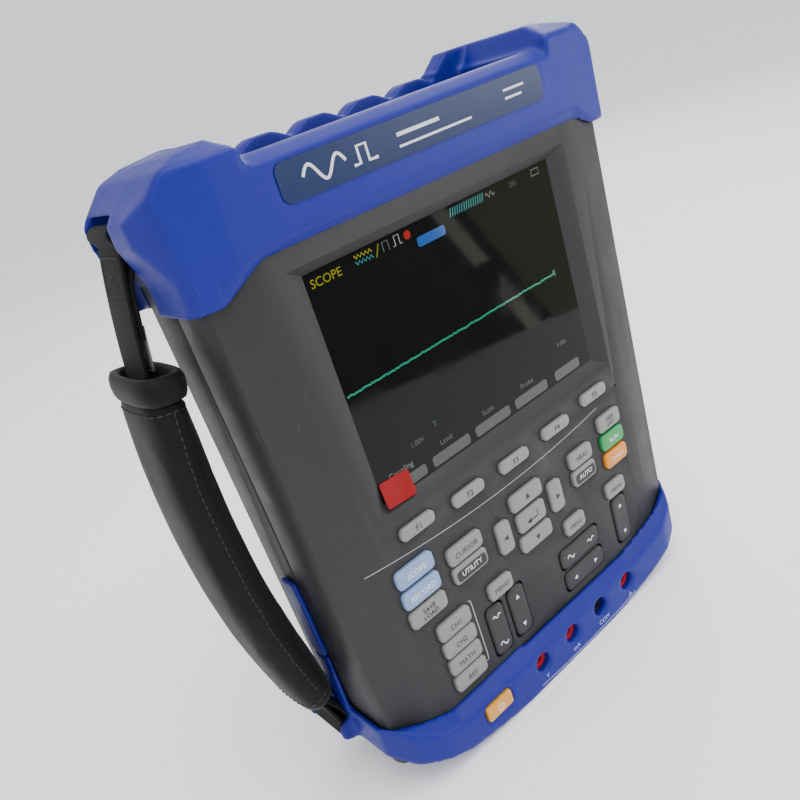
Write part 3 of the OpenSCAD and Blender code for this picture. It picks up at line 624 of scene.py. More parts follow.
def stitch_run():
    """A run of thread stitches laid end to end along a curve."""
    tree, given, out = geometry_tree("stitch_run", [
        ("Pitch", "NodeSocketFloat", 0.0026), ("Thread", "NodeSocketFloat", 0.0003),
        ("Finish", "NodeSocketMaterial", None)])
    new, link = tree.nodes.new, tree.links.new
    points = new("GeometryNodeCurveToPoints")
    points.mode = "LENGTH"
    link(given.outputs["Geometry"], points.inputs["Curve"])
    link(given.outputs["Pitch"], points.inputs["Length"])
    bead = new("GeometryNodeMeshUVSphere")
    bead.inputs["Segments"].default_value = 6
    bead.inputs["Rings"].default_value = 5
    bead.inputs["Radius"].default_value = 1.0
    shape = new("ShaderNodeCombineXYZ")
    half = new("ShaderNodeMath")
    half.operation = "MULTIPLY"
    half.inputs[1].default_value = 0.41
    link(given.outputs["Pitch"], half.inputs[0])
    link(given.outputs["Thread"], shape.inputs["X"])
    link(given.outputs["Thread"], shape.inputs["Y"])
    link(half.outputs[0], shape.inputs["Z"])
    place = new("GeometryNodeInstanceOnPoints")
    link(points.outputs["Points"], place.inputs["Points"])
    link(points.outputs["Rotation"], place.inputs["Rotation"])
    link(bead.outputs["Mesh"], place.inputs["Instance"])
    link(shape.outputs[0], place.inputs["Scale"])
    real = new("GeometryNodeRealizeInstances")
    link(place.outputs["Instances"], real.inputs["Geometry"])
    dress = new("GeometryNodeSetMaterial")
    link(real.outputs["Geometry"], dress.inputs["Geometry"])
    link(given.outputs["Finish"], dress.inputs["Material"])
    link(dress.outputs["Geometry"], out.inputs["Geometry"])
    return tree


def set_copies():
    """The same small part set down at each point of a mesh."""
    tree, given, out = geometry_tree("set_copies", [
        ("Part", "NodeSocketObject", None), ("Finish", "NodeSocketMaterial", None)])
    new, link = tree.nodes.new, tree.links.new
    part = new("GeometryNodeObjectInfo")
    link(given.outputs["Part"], part.inputs["Object"])
    place = new("GeometryNodeInstanceOnPoints")
    link(given.outputs["Geometry"], place.inputs["Points"])
    link(part.outputs["Geometry"], place.inputs["Instance"])
    real = new("GeometryNodeRealizeInstances")
    link(place.outputs["Instances"], real.inputs["Geometry"])
    dress = new("GeometryNodeSetMaterial")
    link(real.outputs["Geometry"], dress.inputs["Geometry"])
    link(given.outputs["Finish"], dress.inputs["Material"])
    link(dress.outputs["Geometry"], out.inputs["Geometry"])
    return tree


def worked(name, data, maker, values):
    """A settled mesh piece that a geometry tree makes from a path or a set of points."""
    obj = added(name + "_guide", data)
    modifier = obj.modifiers.new("tree", "NODES")
    modifier.node_group = shared(maker)
    set_inputs(modifier, values)
    return settle(smoothed(baked(obj, name)), HOUSING)


def stitched(name, runs, material, pitch, thread=0.3):
    """Stitches along several paths of points in millimetres, as one piece."""
    curve = bpy.data.curves.new(name + "_path", "CURVE")
    curve.dimensions = "3D"
    for run in runs:
        spline = curve.splines.new("POLY")
        spline.points.add(len(run) - 1)
        for p, (x, y, z) in zip(spline.points, run):
            p.co = (x * MM, y * MM, z * MM, 1)
    return worked(name, curve, stitch_run, {"Pitch": pitch, "Thread": thread * MM, "Finish": material})


def copied(name, part, points, material):
    """Sets a small part down at points in millimetres, as one piece; the pattern part is removed."""
    mesh = bpy.data.meshes.new(name + "_points")
    mesh.from_pydata([(x * MM, y * MM, z * MM) for x, y, z in points], [], [])
    obj = worked(name, mesh, set_copies, {"Part": part, "Finish": material})
    bpy.data.objects.remove(part)
    return obj


def turned(name, profile, material, axis="Y", around=28):
    """A closed ring or plug turned from (radius, along) points, along -Y or +Z."""
    rings = []
    for a in np.linspace(0, 2 * math.pi, around, endpoint=False):
        c, s = math.cos(a), math.sin(a)
        rings.append([(r * c, -t, r * s) if axis == "Y" else (r * c, r * s, t) for r, t in profile])
    return piece(name, *loft(rings, closed=True), [material])


# ---------------------------------------------------------------- pieces


def build_shells():
    s = settings().case
    front = look("front_shell_plastic", moulded, s.front_colour, 0.5, grain=s.grain / MM, depth=0.05,
                 specular=0.3)
    rear = look("rear_shell_plastic", moulded, s.rear_colour, 0.55, grain=0.45, depth=0.06)
    edged("front_shell", s.edge_round, front)
    edged("rear_shell", s.edge_round, rear)
    edged("battery_cover", 0.3 * MM, rear)
    edged("tilt_stand", 0.6 * MM, rear)
    finish_node("case_gasket", look("gasket_foam", moulded, (0.01, 0.01, 0.01), 0.8, grain=0.6, depth=0.1))
    for node in ("case_screws", "battery_cover_screws", "stand_pins"):
        finish_node(node, steel_look())
    ink = Ink(FACE_Y, 0.02)
    pale = ink_look("pale_grey", (0.33, 0.33, 0.34))
    ink.stroke([(x, 88.0 + 0.00112 * (x + 3) ** 2) for x in np.linspace(-75, 52, 40)], 0.28, pale)
    bracket = [(-38.6, 56.8), (-37.6, 56.2), (-37.4, 54), (-37.4, 30), (-37.6, 27.8), (-38.6, 27.2)]
    ink.stroke(bracket, 0.45, pale)
    ink.make("case_print", HOUSING)
    smoke = look("indicator_lens", moulded, (0.02, 0.02, 0.022), 0.2, grain=0.2, depth=0.01, coat=0.5)
    lens = turned("indicator_lens", [(0.0, 0.0), (0.62, 0.0), (0.62, 0.9), (0.5, 1.1), (0.0, 1.2)], smoke)
    lens.data.transform(Matrix.Translation(Vector((66, FACE_Y + 1.4, 95)) * MM))
    settle(lens, HOUSING)


def build_caps():
    s = settings().case
    rubber = look("blue_cap_rubber", moulded, s.rubber_colour, 0.46, grain=0.3, depth=0.03, marks=0.55,
                  specular=0.25)
    softened("top_cap", "cap_rubber", s.cap_voxel, s.cap_smoothing, rubber)
    softened("bottom_boot", "boot_rubber", s.cap_voxel, s.cap_smoothing - 3, rubber)
    for node in ("left_port_cover", "right_port_cover"):
        softened(node, node + "_rubber", 0.45 * MM, 5, rubber, node + "_body")
    ink = Ink(-28.5, 0.05)
    pale = ink_look("pale_blue", (0.32, 0.36, 0.72))
    for i, mark in enumerate(("V", "mA", "COM", "A")):
        ink.words(mark, 3.0, -16.9 + JACK_PITCH * i, 4.6, pale)
    ink.stroke([(-21, 2.6), (-8, 2.0), (12, 1.8), (30, 2.4), (44, 3.6)], 0.3, pale)
    ink.make("boot_print", HOUSING)


def key_piece(node, material, edge):
    """A moulded key from its CAD box: flange, straight sides, rounded edge and crowned face."""
    low, high = (np.array(corner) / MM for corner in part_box(node))
    w, h = high[0] - low[0], high[2] - low[2]
    w, h = (w, h - 2 * KEY_EAR) if h > w else (w - 2 * KEY_EAR, h)
    cx, cz = (low[0] + high[0]) / 2, (low[2] + high[2]) / 2
    crown = KEY_FRONT_Y + KEY_DOME
    profile = [(-0.8, KEY_BACK_Y), (-0.8, KEY_BACK_Y - 0.8), (0.0, KEY_BACK_Y - 0.85),
               (0.0, KEY_FRONT_Y + edge + 0.4)]
    profile += [(edge * (1 - math.cos(a)), crown + (edge - KEY_DOME) * (1 - math.sin(a)))
                for a in np.linspace(0, math.pi / 2, 6)]
    reach = min(w, h) / 2 - edge
    profile += [(edge + reach * t, KEY_FRONT_Y + KEY_DOME * (1 - t) ** 2) for t in (0.3, 0.6, 0.85)]
    rings = []
    for inset, y in profile:
        outline = rounded_outline(w - 2 * inset, h - 2 * inset, max(KEY_CORNER - inset * 0.75, 0.25))
        rings.append([(cx + x, y, cz + z) for x, z in outline])
    settle(piece(node + "_cap", *loft(rings), [material]), node + "_body", [node])


KEY_WORDS = {
    "key_f1": ("F1", 3.2), "key_f2": ("F2", 3.2), "key_f3": ("F3", 3.2), "key_f4": ("F4", 3.2),
    "key_f5": ("F5", 3.2), "key_scope": ("SCOPE", 3.0), "key_recorder": ("RECORD", 3.0),
    "key_save": ("SAVE\nLOAD", 2.7), "key_cursor": ("CURSOR", 3.0), "key_utility": ("UTILITY", 3.0),
    "key_ch1": ("CH1", 3.0), "key_ch2": ("CH2", 3.0), "key_math": ("MATH", 3.0), "key_ref": ("REF", 3.0),
    "key_menu_vertical": ("MENU", 2.9), "key_measure": ("MEAS", 2.9), "key_autoset": ("AUTO", 2.9),
    "key_display": ("DISP\nLAY", 2.4), "key_run": ("RUN", 2.8), "key_single": ("SINGLE", 2.4),
    "key_menu_horizontal": ("MENU", 2.7), "key_menu_trigger": ("MENU", 2.7),
}
PALE_WORDS = ("key_scope", "key_recorder", "key_utility", "key_autoset", "key_run", "key_single")
DARK_FIELDS = ("key_utility", "key_autoset")
ARROWS = {"key_up": 90, "key_down": 270, "key_left": 180, "key_right": 0}
WAVE_ROCKERS = ("rocker_range", "rocker_time")
SOFT_LABELS = (("Coupling", "DC"), ("Limit", "OFF"), ("Scale", "Coarse"), ("Probe", "x1"), ("Invert", "OFF"))


def circle(radius, count):
    return [(radius * math.cos(a), radius * math.sin(a))
            for a in np.linspace(0, 2 * math.pi, count, endpoint=False)]


def triangle(cx, cz, size, heading):
    a = math.radians(heading)
    return [(cx + size * math.cos(a + k), cz + size * math.sin(a + k)) for k in (0, 2.2, -2.2)]


def wave(cx, cz, w, h, turns=1.0, points=15):
    return [(cx + w * (t - 0.5), cz + h / 2 * math.sin(2 * math.pi * turns * t))
            for t in np.linspace(0, 1, points)]


def node_middle(node):
    low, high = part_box(node)
    return (low.x + high.x) / 2 / MM, (low.z + high.z) / 2 / MM


def key_look(name, base):
    return look(name, moulded, base, 0.42, grain=0.16, depth=0.012, marks=0.25)


def build_keys():
    k = settings().keys
    grey = key_look("light_key_silicone", k.key_colour)
    mode = key_look("mode_key_silicone", k.mode_colour)
    special = {"key_scope": (mode, "blue_key"), "key_recorder": (mode, "blue_key"),
               "key_run": (key_look("run_key_silicone", k.run_colour), "green_key"),
               "key_single": (key_look("single_key_silicone", k.single_colour), "orange_key")}
    dark, pale = ink_look("black", (0.012, 0.012, 0.014)), white_ink()
    for node in [n for n in NODES if n.startswith("key_") and n != "key_power"]:
        material, slot = special.get(node, (grey, "grey_key"))
        key_piece(node, material, k.edge_radius / MM)
        cx, cz = node_middle(node)
        ink = Ink(KEY_FRONT_Y - 0.02, 0.04)
        if node in DARK_FIELDS:
            low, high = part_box(node)
            ink.pill(cx, cz - 0.2, (high.x - low.x) / MM - 4.6, 4.4, 1.2, dark)
            ink.y -= ink.thick
        if node in KEY_WORDS:
            text, size = KEY_WORDS[node]
            ink.words(text, size, cx, cz, pale if node in PALE_WORDS else dark)
        elif node in ARROWS:
            ink.plate(triangle(cx, cz, 1.5, ARROWS[node]), dark)
        else:
            ink.plate(triangle(cx - 2.2, cz - 0.8, 1.5, 180), dark)
            ink.stroke([(cx - 2, cz - 0.8), (cx + 2.8, cz - 0.8), (cx + 2.8, cz + 1.8)], 0.55, dark)
        ink.make(node + "_print", node + "_body")


def build_rockers():
    black = look("rocker_silicone", moulded, settings().keys.rocker_colour, 0.5, grain=0.2, depth=0.02,
                 marks=0.3)
    for node in [n for n in NODES if n.startswith("rocker_")]:
        low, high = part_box(node)
        upright = high.z - low.z > high.x - low.x
        settle(rocker_piece(node, upright, black), node + "_body", [node])
        cx, cz = node_middle(node)
        ink, reach = Ink(ROCKER_FRONT_Y - 0.06, 0.04), 6.6
        for end in (-1, 1):
            x, z = (cx, cz + end * reach) if upright else (cx + end * reach, cz)
            if node in WAVE_ROCKERS:
                tall, turns = (2.2, 1.0) if end < 0 else (1.3, 1.5)
                ink.stroke(wave(x, z, 4.2, tall, turns), 0.5, white_ink())
            else:
                heading = (90 if end > 0 else 270) if upright else (0 if end > 0 else 180)
                ink.plate(triangle(x, z, 1.25, heading), white_ink())
        ink.make(node + "_print", node + "_body")


def rocker_piece(node, upright, material):
    """A rocker cap with a raised pad at each end, a shallow saddle between them and its trunnions."""
    low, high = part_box(node)
    cx, cz = node_middle(node)
    pin = 1.1 if upright else 0.7
    w, h = (high.x - low.x) / MM, (high.z - low.z) / MM
    w, h = (w - 2 * pin, h) if upright else (w, h - 2 * pin)
    front = ROCKER_FRONT_Y
    rings = []
    for inset, y in ((0.15, -18.0), (0.0, -18.4), (0.0, front + 0.9), (0.25, front + 0.35),
                     (0.7, front + 0.08), (1.3, front), (2.2, front), (3.2, front)):
        ring = []
        for x, z in rounded_outline(w - 2 * inset, h - 2 * inset, max(3.0 - inset * 0.8, 0.3), 9):
            along = abs(z / (h / 2)) if upright else abs(x / (w / 2))
            dip = 0.3 * max(0.0, 1 - along * 1.6) if inset > 0.2 else 0.0
            ring.append((cx + x, y + dip, cz + z))
        rings.append(ring)
    verts, faces = loft(rings)
    across = (w if upright else h) / 2
    for end in (-1, 1):
        ends = []
        for d in (end * across, end * (across + pin - 0.05)):
            ends.append([(cx + (d if upright else a), ROCKER_AXIS_Y + (a if upright else b),
                          cz + (b if upright else d)) for a, b in circle(0.85, 12)])
        base = len(verts)
        pin_verts, pin_faces = loft(ends)
        verts += pin_verts
        faces += [tuple(base + i for i in f) for f in pin_faces]
    return piece(node + "_cap", verts, faces, [material])


def build_power_key():
    orange = look("power_key_gloss", moulded, settings().keys.power_colour, 0.3, grain=0.2, depth=0.008,
                  marks=0.3, coat=0.35)
    low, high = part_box("key_power")
    cx, cz = node_middle("key_power")
    w, h = (high.x - low.x) / MM, (high.z - low.z) / MM
    front = low.y / MM
    stem = -2.5
    rings = []
    for grow, y, r in ((stem, -18.9, 0.3), (stem, -23.2, 0.3), (0, -23.3, 1.0), (0, front + 0.7, 1.0),
                       (-0.2, front + 0.25, 1.0), (-0.6, front + 0.03, 0.9), (-1.6, front, 0.6),
                       (-2.6, front, 0.3)):
        outline = rounded_outline(w + 2 * grow, h + 2 * grow + (2 if grow == stem else 0), r)
        rings.append([(cx + x, y, cz + z) for x, z in outline])
    settle(piece("power_key_cap", *loft(rings), [orange]), "key_power_body", ["key_power"])
    ink = Ink(front - 0.01, 0.04)
    arc = [(cx + 1.5 * math.sin(a), cz + 1.5 * math.cos(a)) for a in np.linspace(0.6, 2 * math.pi - 0.6, 18)]
    ink.stroke(arc, 0.42, white_ink())
    ink.stroke([(cx, cz + 0.3), (cx, cz + 1.9)], 0.42, white_ink())
    ink.make("power_key_print", "key_power_body")


def build_name_plate():
    film = look("label_film", moulded, (0.006, 0.016, 0.062), 0.32, grain=0.35, depth=0.006, marks=0.4,
                coat=0.05, specular=0.25)
    finish_node("name_plate", film)
    silver = ink_look("plate_silver", (0.62, 0.63, 0.66))
    ink = Ink(-24.82, 0.05)
    ink.stroke(wave(-40.5, 221.2, 16, 5.6, 1.5, 40), 1.0, silver)
    square = [(-30, 218.6), (-27.5, 218.6), (-27.5, 223.8), (-24, 223.8), (-24, 218.6), (-20.5, 218.6)]
    ink.stroke(square, 1.0, silver)
    for x, z, w, h in ((-2.2, 222.4, 18.5, 1.2), (4.8, 218.8, 32.5, 0.75), (43.4, 222.9, 10.5, 0.8),
                       (42.6, 220.2, 8.5, 0.8)):
        ink.bar(x, z, w, h, silver)
    ink.make("name_plate_print", HOUSING)


def on_screen(u, v):
    """Row-frame (x, z) of a place on the display, from its lower left corner."""
    return SCREEN_X - SCREEN_W / 2 + u, SCREEN_Z - SCREEN_H / 2 + v


def lit(name, rgb, strength):
    s = settings().screen
    return look("lit_" + name, glowing, rgb, s.glow * strength, s.window_colour)


def dim_lit():
    return lit("dim", (0.12, 0.13, 0.13), 0.45)


def grey_lit():
    return lit("grey", (0.3, 0.32, 0.33), 0.6)


def build_screen():
    s = settings().screen
    f = Finish("dark_window", s.window_colour, 0.07, specular=0.13)
    smear = f.group(handling_marks, Amount=0.6)
    cloud = f.group(mould_grain, Grain=9.0, Mottle=32.0)
    f.tint(cloud.outputs["Cloud"], (0.007, 0.0085, 0.0065), 0.7)
    f.roughen(math_node(f.tree, "ADD", smear.outputs["Rub"], smear.outputs["Scratch"], True), 0.05, 0.16)
    finish_node("screen_window", f.material)
    finish_node("lcd_module", look("pressed_tray", metal, (0.5, 0.51, 0.52), 0.35))
    film = look("red_film", moulded, s.film_colour, 0.28, grain=0.8, depth=0.012, marks=0.4, coat=0.3)
    finish_node("screen_film_tab", film)
    ink = Ink(WINDOW_Y - 0.01, 0.02)

    def line(width, material, *places):
        ink.stroke([on_screen(u, v) for u, v in places], width, material)

    draw_trace(ink, line)
    draw_status_row(ink, line)
    draw_menu_row(ink)
    ink.make("screen_picture", HOUSING)


def draw_trace(ink, line):
    """The flat, slightly noisy waveform and its end mark."""
    rng = np.random.default_rng(4)
    noisy = [(u, SCREEN_H / 2 + min(max(0.14 * rng.standard_normal(), -0.5), 0.5))
             for u in np.linspace(0.8, 105.5, 150)]
    line(0.7, lit("trace", settings().screen.trace_colour, 1.0), *noisy)
    arrow = [on_screen(u, v) for u, v in ((105, 43.4), (106.4, 43.4), (106.4, 40.6), (105, 42))]
    ink.plate(arrow, lit("trace_end", (0.05, 0.3, 0.2), 0.8))


def draw_status_row(ink, line):
    """Title, channel signs, badge, time base comb and battery outline along the top."""
    yellow, cyan = lit("yellow", (0.55, 0.5, 0.02), 0.8), lit("cyan", (0.05, 0.42, 0.45), 0.8)
    ink.words("SCOPE", 4.1, *on_screen(8, 80.1), yellow)
    for v, material in ((82.0, yellow), (80.0, cyan)):
        line(0.5, material, *[(20 + i * 0.8, v + 0.6 * (-1) ** i) for i in range(10)])
    line(0.5, lit("olive", (0.35, 0.4, 0.02), 0.7), (28.4, 78.9), (30.4, 82.8))
    line(0.35, grey_lit(), (31.8, 79.4), (31.8, 82.6), (34.2, 82.6), (34.2, 79.4))
    line(0.45, lit("white", (0.5, 0.52, 0.53), 0.8), (36, 79.6), (37, 79.6), (37, 82.8), (39, 82.8),
         (39, 79.6), (40, 79.6))
    cx, cz = on_screen(42.6, 81.2)
    ink.plate([(cx + x, cz + z) for x, z in circle(1.5, 20)], lit("red", (0.62, 0.02, 0.015), 0.9))
    ink.pill(*on_screen(52.4, 77.2), 13, 3.4, 0.8, lit("badge", (0.02, 0.15, 0.62), 0.9))
    for u in [62.6 + i * 1.15 for i in range(15)]:
        line(0.42, cyan, (u, 80.0), (u + 0.9, 82.9))
    ink.stroke(wave(*on_screen(83, 81.3), 4.6, 1.8, 2.0), 0.4, grey_lit())
    ink.words("20k", 2.8, *on_screen(95, 81), dim_lit())
    line(0.35, grey_lit(), (105.6, 80.3), (109.6, 80.3), (109.6, 82.5), (105.6, 82.5), (105.6, 80.3))


def draw_menu_row(ink):
    """The five soft key fields along the bottom, with their labels."""
    field = lit("box", (0.075, 0.08, 0.082), 0.42)
    for i, (label, value) in enumerate(SOFT_LABELS):
        u, last = 12 + i * 22.2, i == len(SOFT_LABELS) - 1
        cx, cz = on_screen(u, 3.1)
        ink.pill(cx, cz, 15.2 if last else 19, 4.2, 1.2, field)
        ink.words(value, 2.7, cx, cz, dim_lit(), lift=ink.thick)
        if not last:
            ink.words(label, 3.1, *on_screen(u - 1, 8.2), grey_lit() if i == 0 else dim_lit())
    ink.words("1.00V", 2.7, *on_screen(21, 13.8), dim_lit())
    ink.words("T", 3.2, *on_screen(30.5, 16), lit("deep_blue", (0.01, 0.06, 0.2), 0.5))
    ink.words("0.00s", 2.6, *on_screen(101, 14.5), dim_lit())


def build_sockets():
    nickel = look("nickel_plate", metal, (0.66, 0.65, 0.62), 0.2)
    gold = look("gold_contact", metal, (0.72, 0.47, 0.16), 0.22)
    ptfe = look("white_insulator", moulded, (0.72, 0.71, 0.66), 0.5, grain=0.3, depth=0.008, marks=0.15)
    red, black = (look(name, moulded, base, 0.35, grain=0.2, depth=0.01, coat=0.2) for name, base in
                  (("red_socket_plastic", (0.42, 0.012, 0.016)),
                   ("black_socket_plastic", (0.012, 0.012, 0.013))))
    for node, material in (("red_jacks", red), ("common_jack", black), ("power_inlet", black),
                           ("usb_sockets", nickel), ("bnc_connectors", nickel)):
        finish_node(node, material)
    sleeve = turned("contact_sleeve", [(1.99, 0.0), (1.99, 14.0), (1.8, 14.4), (1.72, 14.0), (1.72, 0.0)],
                    nickel)
    copied("contact_sleeves", sleeve, [(-16.875 + JACK_PITCH * i, -7.0, 11.5) for i in range(4)], nickel)
    pin = turned("bnc_pin", [(0.66, 0.0), (0.66, 5.4), (0.58, 5.8), (0.42, 5.9), (0.42, 0.0)], gold, "Z", 16)
    copied("bnc_pins", pin, [(x, 1.0, 220.1) for x in BNC_X], gold)
    outline = [(2.42, 0.0), (2.42, 8.3), (2.2, 8.55), (1.0, 8.6), (0.72, 8.5), (0.72, 0.0)]
    plug = turned("bnc_insulator", outline, ptfe, "Z", 24)
    copied("bnc_insulators", plug, [(x, 1.0, 217.1) for x in BNC_X], ptfe)


def build_inside():
    board = look("solder_mask", moulded, (0.01, 0.1, 0.035), 0.35, grain=0.7, depth=0.03)
    finish_node("main_board", board)
    mat = look("contact_mat_silicone", moulded, (0.5, 0.5, 0.47), 0.5, grain=0.4, depth=0.02)
    finish_node("keypad_mat", mat)
    wrap = look("battery_wrap", moulded, (0.02, 0.035, 0.2), 0.3, grain=1.2, depth=0.02, coat=0.3)
    finish_node("battery_pack", wrap)


# ---------------------------------------------------------------- strap


def strap_line(z, lift=0.0):
    """Point of the strap's middle line in the wall's frame: (out, z), lifted outward by lift."""
    cx = BAR_OUT + STRAP_BOW - STRAP_R
    a = math.asin((z - STRAP_MID_Z) / STRAP_R)
    r = STRAP_R + lift
    return cx + r * math.cos(a), STRAP_MID_Z + r * math.sin(a)


def band(name, line, width, thick, material):
    """A flat band that follows (out, z) points in the wall's frame, with a UV map in metres."""
    rings, uvs, run = [], [], 0.0
    section = rounded_outline(width, thick, thick * 0.45, 4)
    for i, (x, z) in enumerate(line):
        a, b = line[max(i - 1, 0)], line[min(i + 1, len(line) - 1)]
        d = math.hypot(b[0] - a[0], b[1] - a[1])
        nx, nz = (b[1] - a[1]) / d, -(b[0] - a[0]) / d
        if i:
            run += math.hypot(x - line[i - 1][0], z - line[i - 1][1])
        rings.append([from_wall(x + nx * t, STRAP_Y + w, z + nz * t) for w, t in section])
        uvs += [(w * MM, run * MM) for w, t in section]
    uvs += [uvs[0], uvs[-1]]
    return piece(name, *loft(rings), [material], uvs=uvs)


def webbing_line():
    """The webbing's path: sewn tail, round the lower bar, along the bow, round the upper bar, tail."""
    ends = []
    for end in (-1, 1):
        bar_z = STRAP_MID_Z + end * STRAP_END
        arc = [(BAR_OUT + BAR_WRAP * math.cos(a), bar_z + end * BAR_WRAP * math.sin(a))
               for a in np.linspace(0.15, math.pi * 0.98, 12)]
        tail = []
        for i, z in enumerate(np.linspace(bar_z - end * 1.5, bar_z - end * 30, 8)):
            x, along = strap_line(z, -1.75)
            ease = max(0.0, 1 - i / 3.0)
            tail.append((x * (1 - ease) + (BAR_OUT - BAR_WRAP) * ease, along))
        ends.append(arc + tail)
    reach = STRAP_END - 3.0
    bow = [strap_line(z) for z in np.linspace(STRAP_MID_Z - reach, STRAP_MID_Z + reach, 60)]
    return ends[0][::-1] + bow + ends[1]


def pad_ring(z, half_w, out_t, in_t):
    """One cross-section of the pad: a soft rectangle round the strap's line, clear of the wall."""
    ring = []
    for i in range(PAD_COUNT):
        a = 2 * math.pi * i / PAD_COUNT
        c, s = math.cos(a), math.sin(a)
        y = half_w * math.copysign(abs(c) ** (2 / PAD_SQUARE), c)
        t = (out_t if s > 0 else in_t) * math.copysign(abs(s) ** (2 / PAD_SQUARE), s)
        x, zz = strap_line(z, t)
        ring.append(from_wall(max(x, PAD_CLEAR), PAD_Y + y, zz))
    return ring


def webbing_look(s):
    web = Finish("strap_webbing_nylon", s.web_colour, 0.75, specular=0.12, use_uv=True)
    threads = web.group(thread_weave, Thread=0.9, Rib=0.35)
    web.tint(threads.outputs["Shade"], shade(s.web_colour, 2.3), 0.7)
    web.shader.inputs["Sheen Weight"].default_value = 0.04
    web.bump(threads.outputs["Height"], 0.12)
    return web.material


def sleeve_look(s):
    sleeve = Finish("pad_sleeve_fabric", s.pad_colour, 0.62, specular=0.16)
    fine = sleeve.group(mould_grain, Grain=0.55, Mottle=16.0)
    sleeve.tint(fine.outputs["Cloud"], shade(s.pad_colour, 1.9), 0.6)
    sleeve.shader.inputs["Sheen Weight"].default_value = 0.06
    sleeve.shader.inputs["Sheen Roughness"].default_value = 0.45
    sleeve.roughen(fine.outputs["Cloud"], 0.5, 0.75)
    sleeve.bump(fine.outputs["Height"], 0.09)
    return sleeve.material


def pad_sizes(s):
    """Half width, and thickness outward and inward of the webbing, in millimetres."""
    return s.pad_width / MM / 2, s.pad_out / MM, s.pad_in / MM


def pad_sleeve(s, fabric):
    """The stuffed sleeve, rounded at its lower end and drawn in at its collar."""
    half, outward, inward = (size - PAD_SLACK for size in pad_sizes(s))
    low, top = PAD_LOW + 0.5, PAD_HIGH - COLLAR + 1.2
    rings = []
    for turn in np.linspace(0, math.pi, 56):
        z = low + (top - low) * (1 - math.cos(turn)) / 2
        near = max(0.0, 1 - (z - PAD_LOW) / 13.0)
        narrow = (1 - near ** 2.6) ** (1 / 2.6) * 0.8 + 0.2
        thin = 0.55 + 0.45 * (1 - near ** 2) ** 0.5
        neck = 1 - 0.06 * max(0.0, 1 - (top - z) / 5.0)
        piping = 1 + 0.035 * math.exp(-((z - PAD_LOW - 5.5) / 1.5) ** 2)
        rings.append(pad_ring(z, half * narrow * neck * piping, outward * thin * neck * piping,
                              inward * thin * neck))
    pad = puffed(piece("strap_pad_sleeve", *loft(rings), [fabric]), 2.4 * MM, 1.5 * MM)
    settle(pad, HOUSING, ["strap_pad"])
    return pad


def pad_collar(s, fabric):
    """The rolled collar round the sleeve's upper end."""
    profile = [(0.0, -1.7), (0.5, -0.5), (2.0, 0.1), (4.4, 0.4), (6.8, 0.25), (8.3, -0.5), (8.6, -1.7),
               (7.8, -2.8), (5.2, -3.4), (1.0, -3.2)]
    rings = [pad_ring(PAD_HIGH - COLLAR + dz, *(size + out for size in pad_sizes(s))) for dz, out in profile]
    settle(piece("strap_pad_collar", *loft(rings, closed=True), [fabric]), HOUSING)


def seam_stitches(s, pad, thread):
    """Stitches that lie on the sleeve: a ring near each end and a seam down each side."""
    skin = BVHTree.FromObject(pad, bpy.context.evaluated_depsgraph_get())
    lift = 0.08 * MM

    def on_skin(points):
        out = []
        for point in points:
            near, normal, _, _ = skin.find_nearest(Vector(point) * MM)
            out.append(tuple((near + normal * lift) / MM))
        return out

    sizes, top = pad_sizes(s), PAD_HIGH - COLLAR
    runs = []
    for z in (top - 2.4, PAD_LOW + 8.5):
        ring = pad_ring(z, *sizes)
        runs.append(on_skin(ring + ring[:1]))
    for side in (-1, 1):
        run = []
        for z in np.linspace(PAD_LOW + 14, top - 3, 60):
            x, along = strap_line(z, -1.0)
            run.append(from_wall(x, PAD_Y + side * (sizes[0] + 1), along))
        runs.append(on_skin(run))
    stitched("pad_seam_stitches", runs, thread, s.stitch_pitch)


def box_stitches(s, thread):
    """The crossed box that sews the webbing's upper tail down."""
    half = s.web_width / MM / 2 - 2.2
    surface = s.web_thickness / MM / 2 + 0.05
    low, high = 205, 216
    corners = [(low, -half), (high, half), (high, -half), (low, half),
               (low, -half), (high, -half), (high, half), (low, half)]
    path = []
    for (za, wa), (zb, wb) in zip(corners, corners[1:]):
        for t in np.linspace(0, 1, 7)[:-1]:
            x, along = strap_line(za + (zb - za) * t, surface)
            path.append(from_wall(x, STRAP_Y + wa + (wb - wa) * t, along))
    stitched("webbing_box_stitches", [path], thread, 1.9 * MM, 0.22)


def build_strap():
    s = settings().strap
    webbing = band("strap_webbing_band", webbing_line(), s.web_width / MM, s.web_thickness / MM,
                   webbing_look(s))
    settle(webbing, HOUSING, ["strap_webbing"])
    finish_node("strap_bars", steel_look())
    fabric = sleeve_look(s)
    pad = pad_sleeve(s, fabric)
    pad_collar(s, fabric)
    thread = look("black_thread", moulded, (0.009, 0.009, 0.0095), 0.6, grain=0.15, depth=0.02)
    seam_stitches(s, pad, thread)
    box_stitches(s, thread)
    # A light grey strip between the webbing and the wall above the pad: a painted highlight that stands in
    # for the bright highlight on the side wall there.
    highlight_paint = look("hook_tape", moulded, (0.16, 0.165, 0.16), 0.4, grain=0.3, depth=0.05)
    line = [strap_line(z, -2.9) for z in np.linspace(182, 196, 8)]
    settle(band("strap_hook_tape", line, 15, 0.8, highlight_paint), HOUSING)


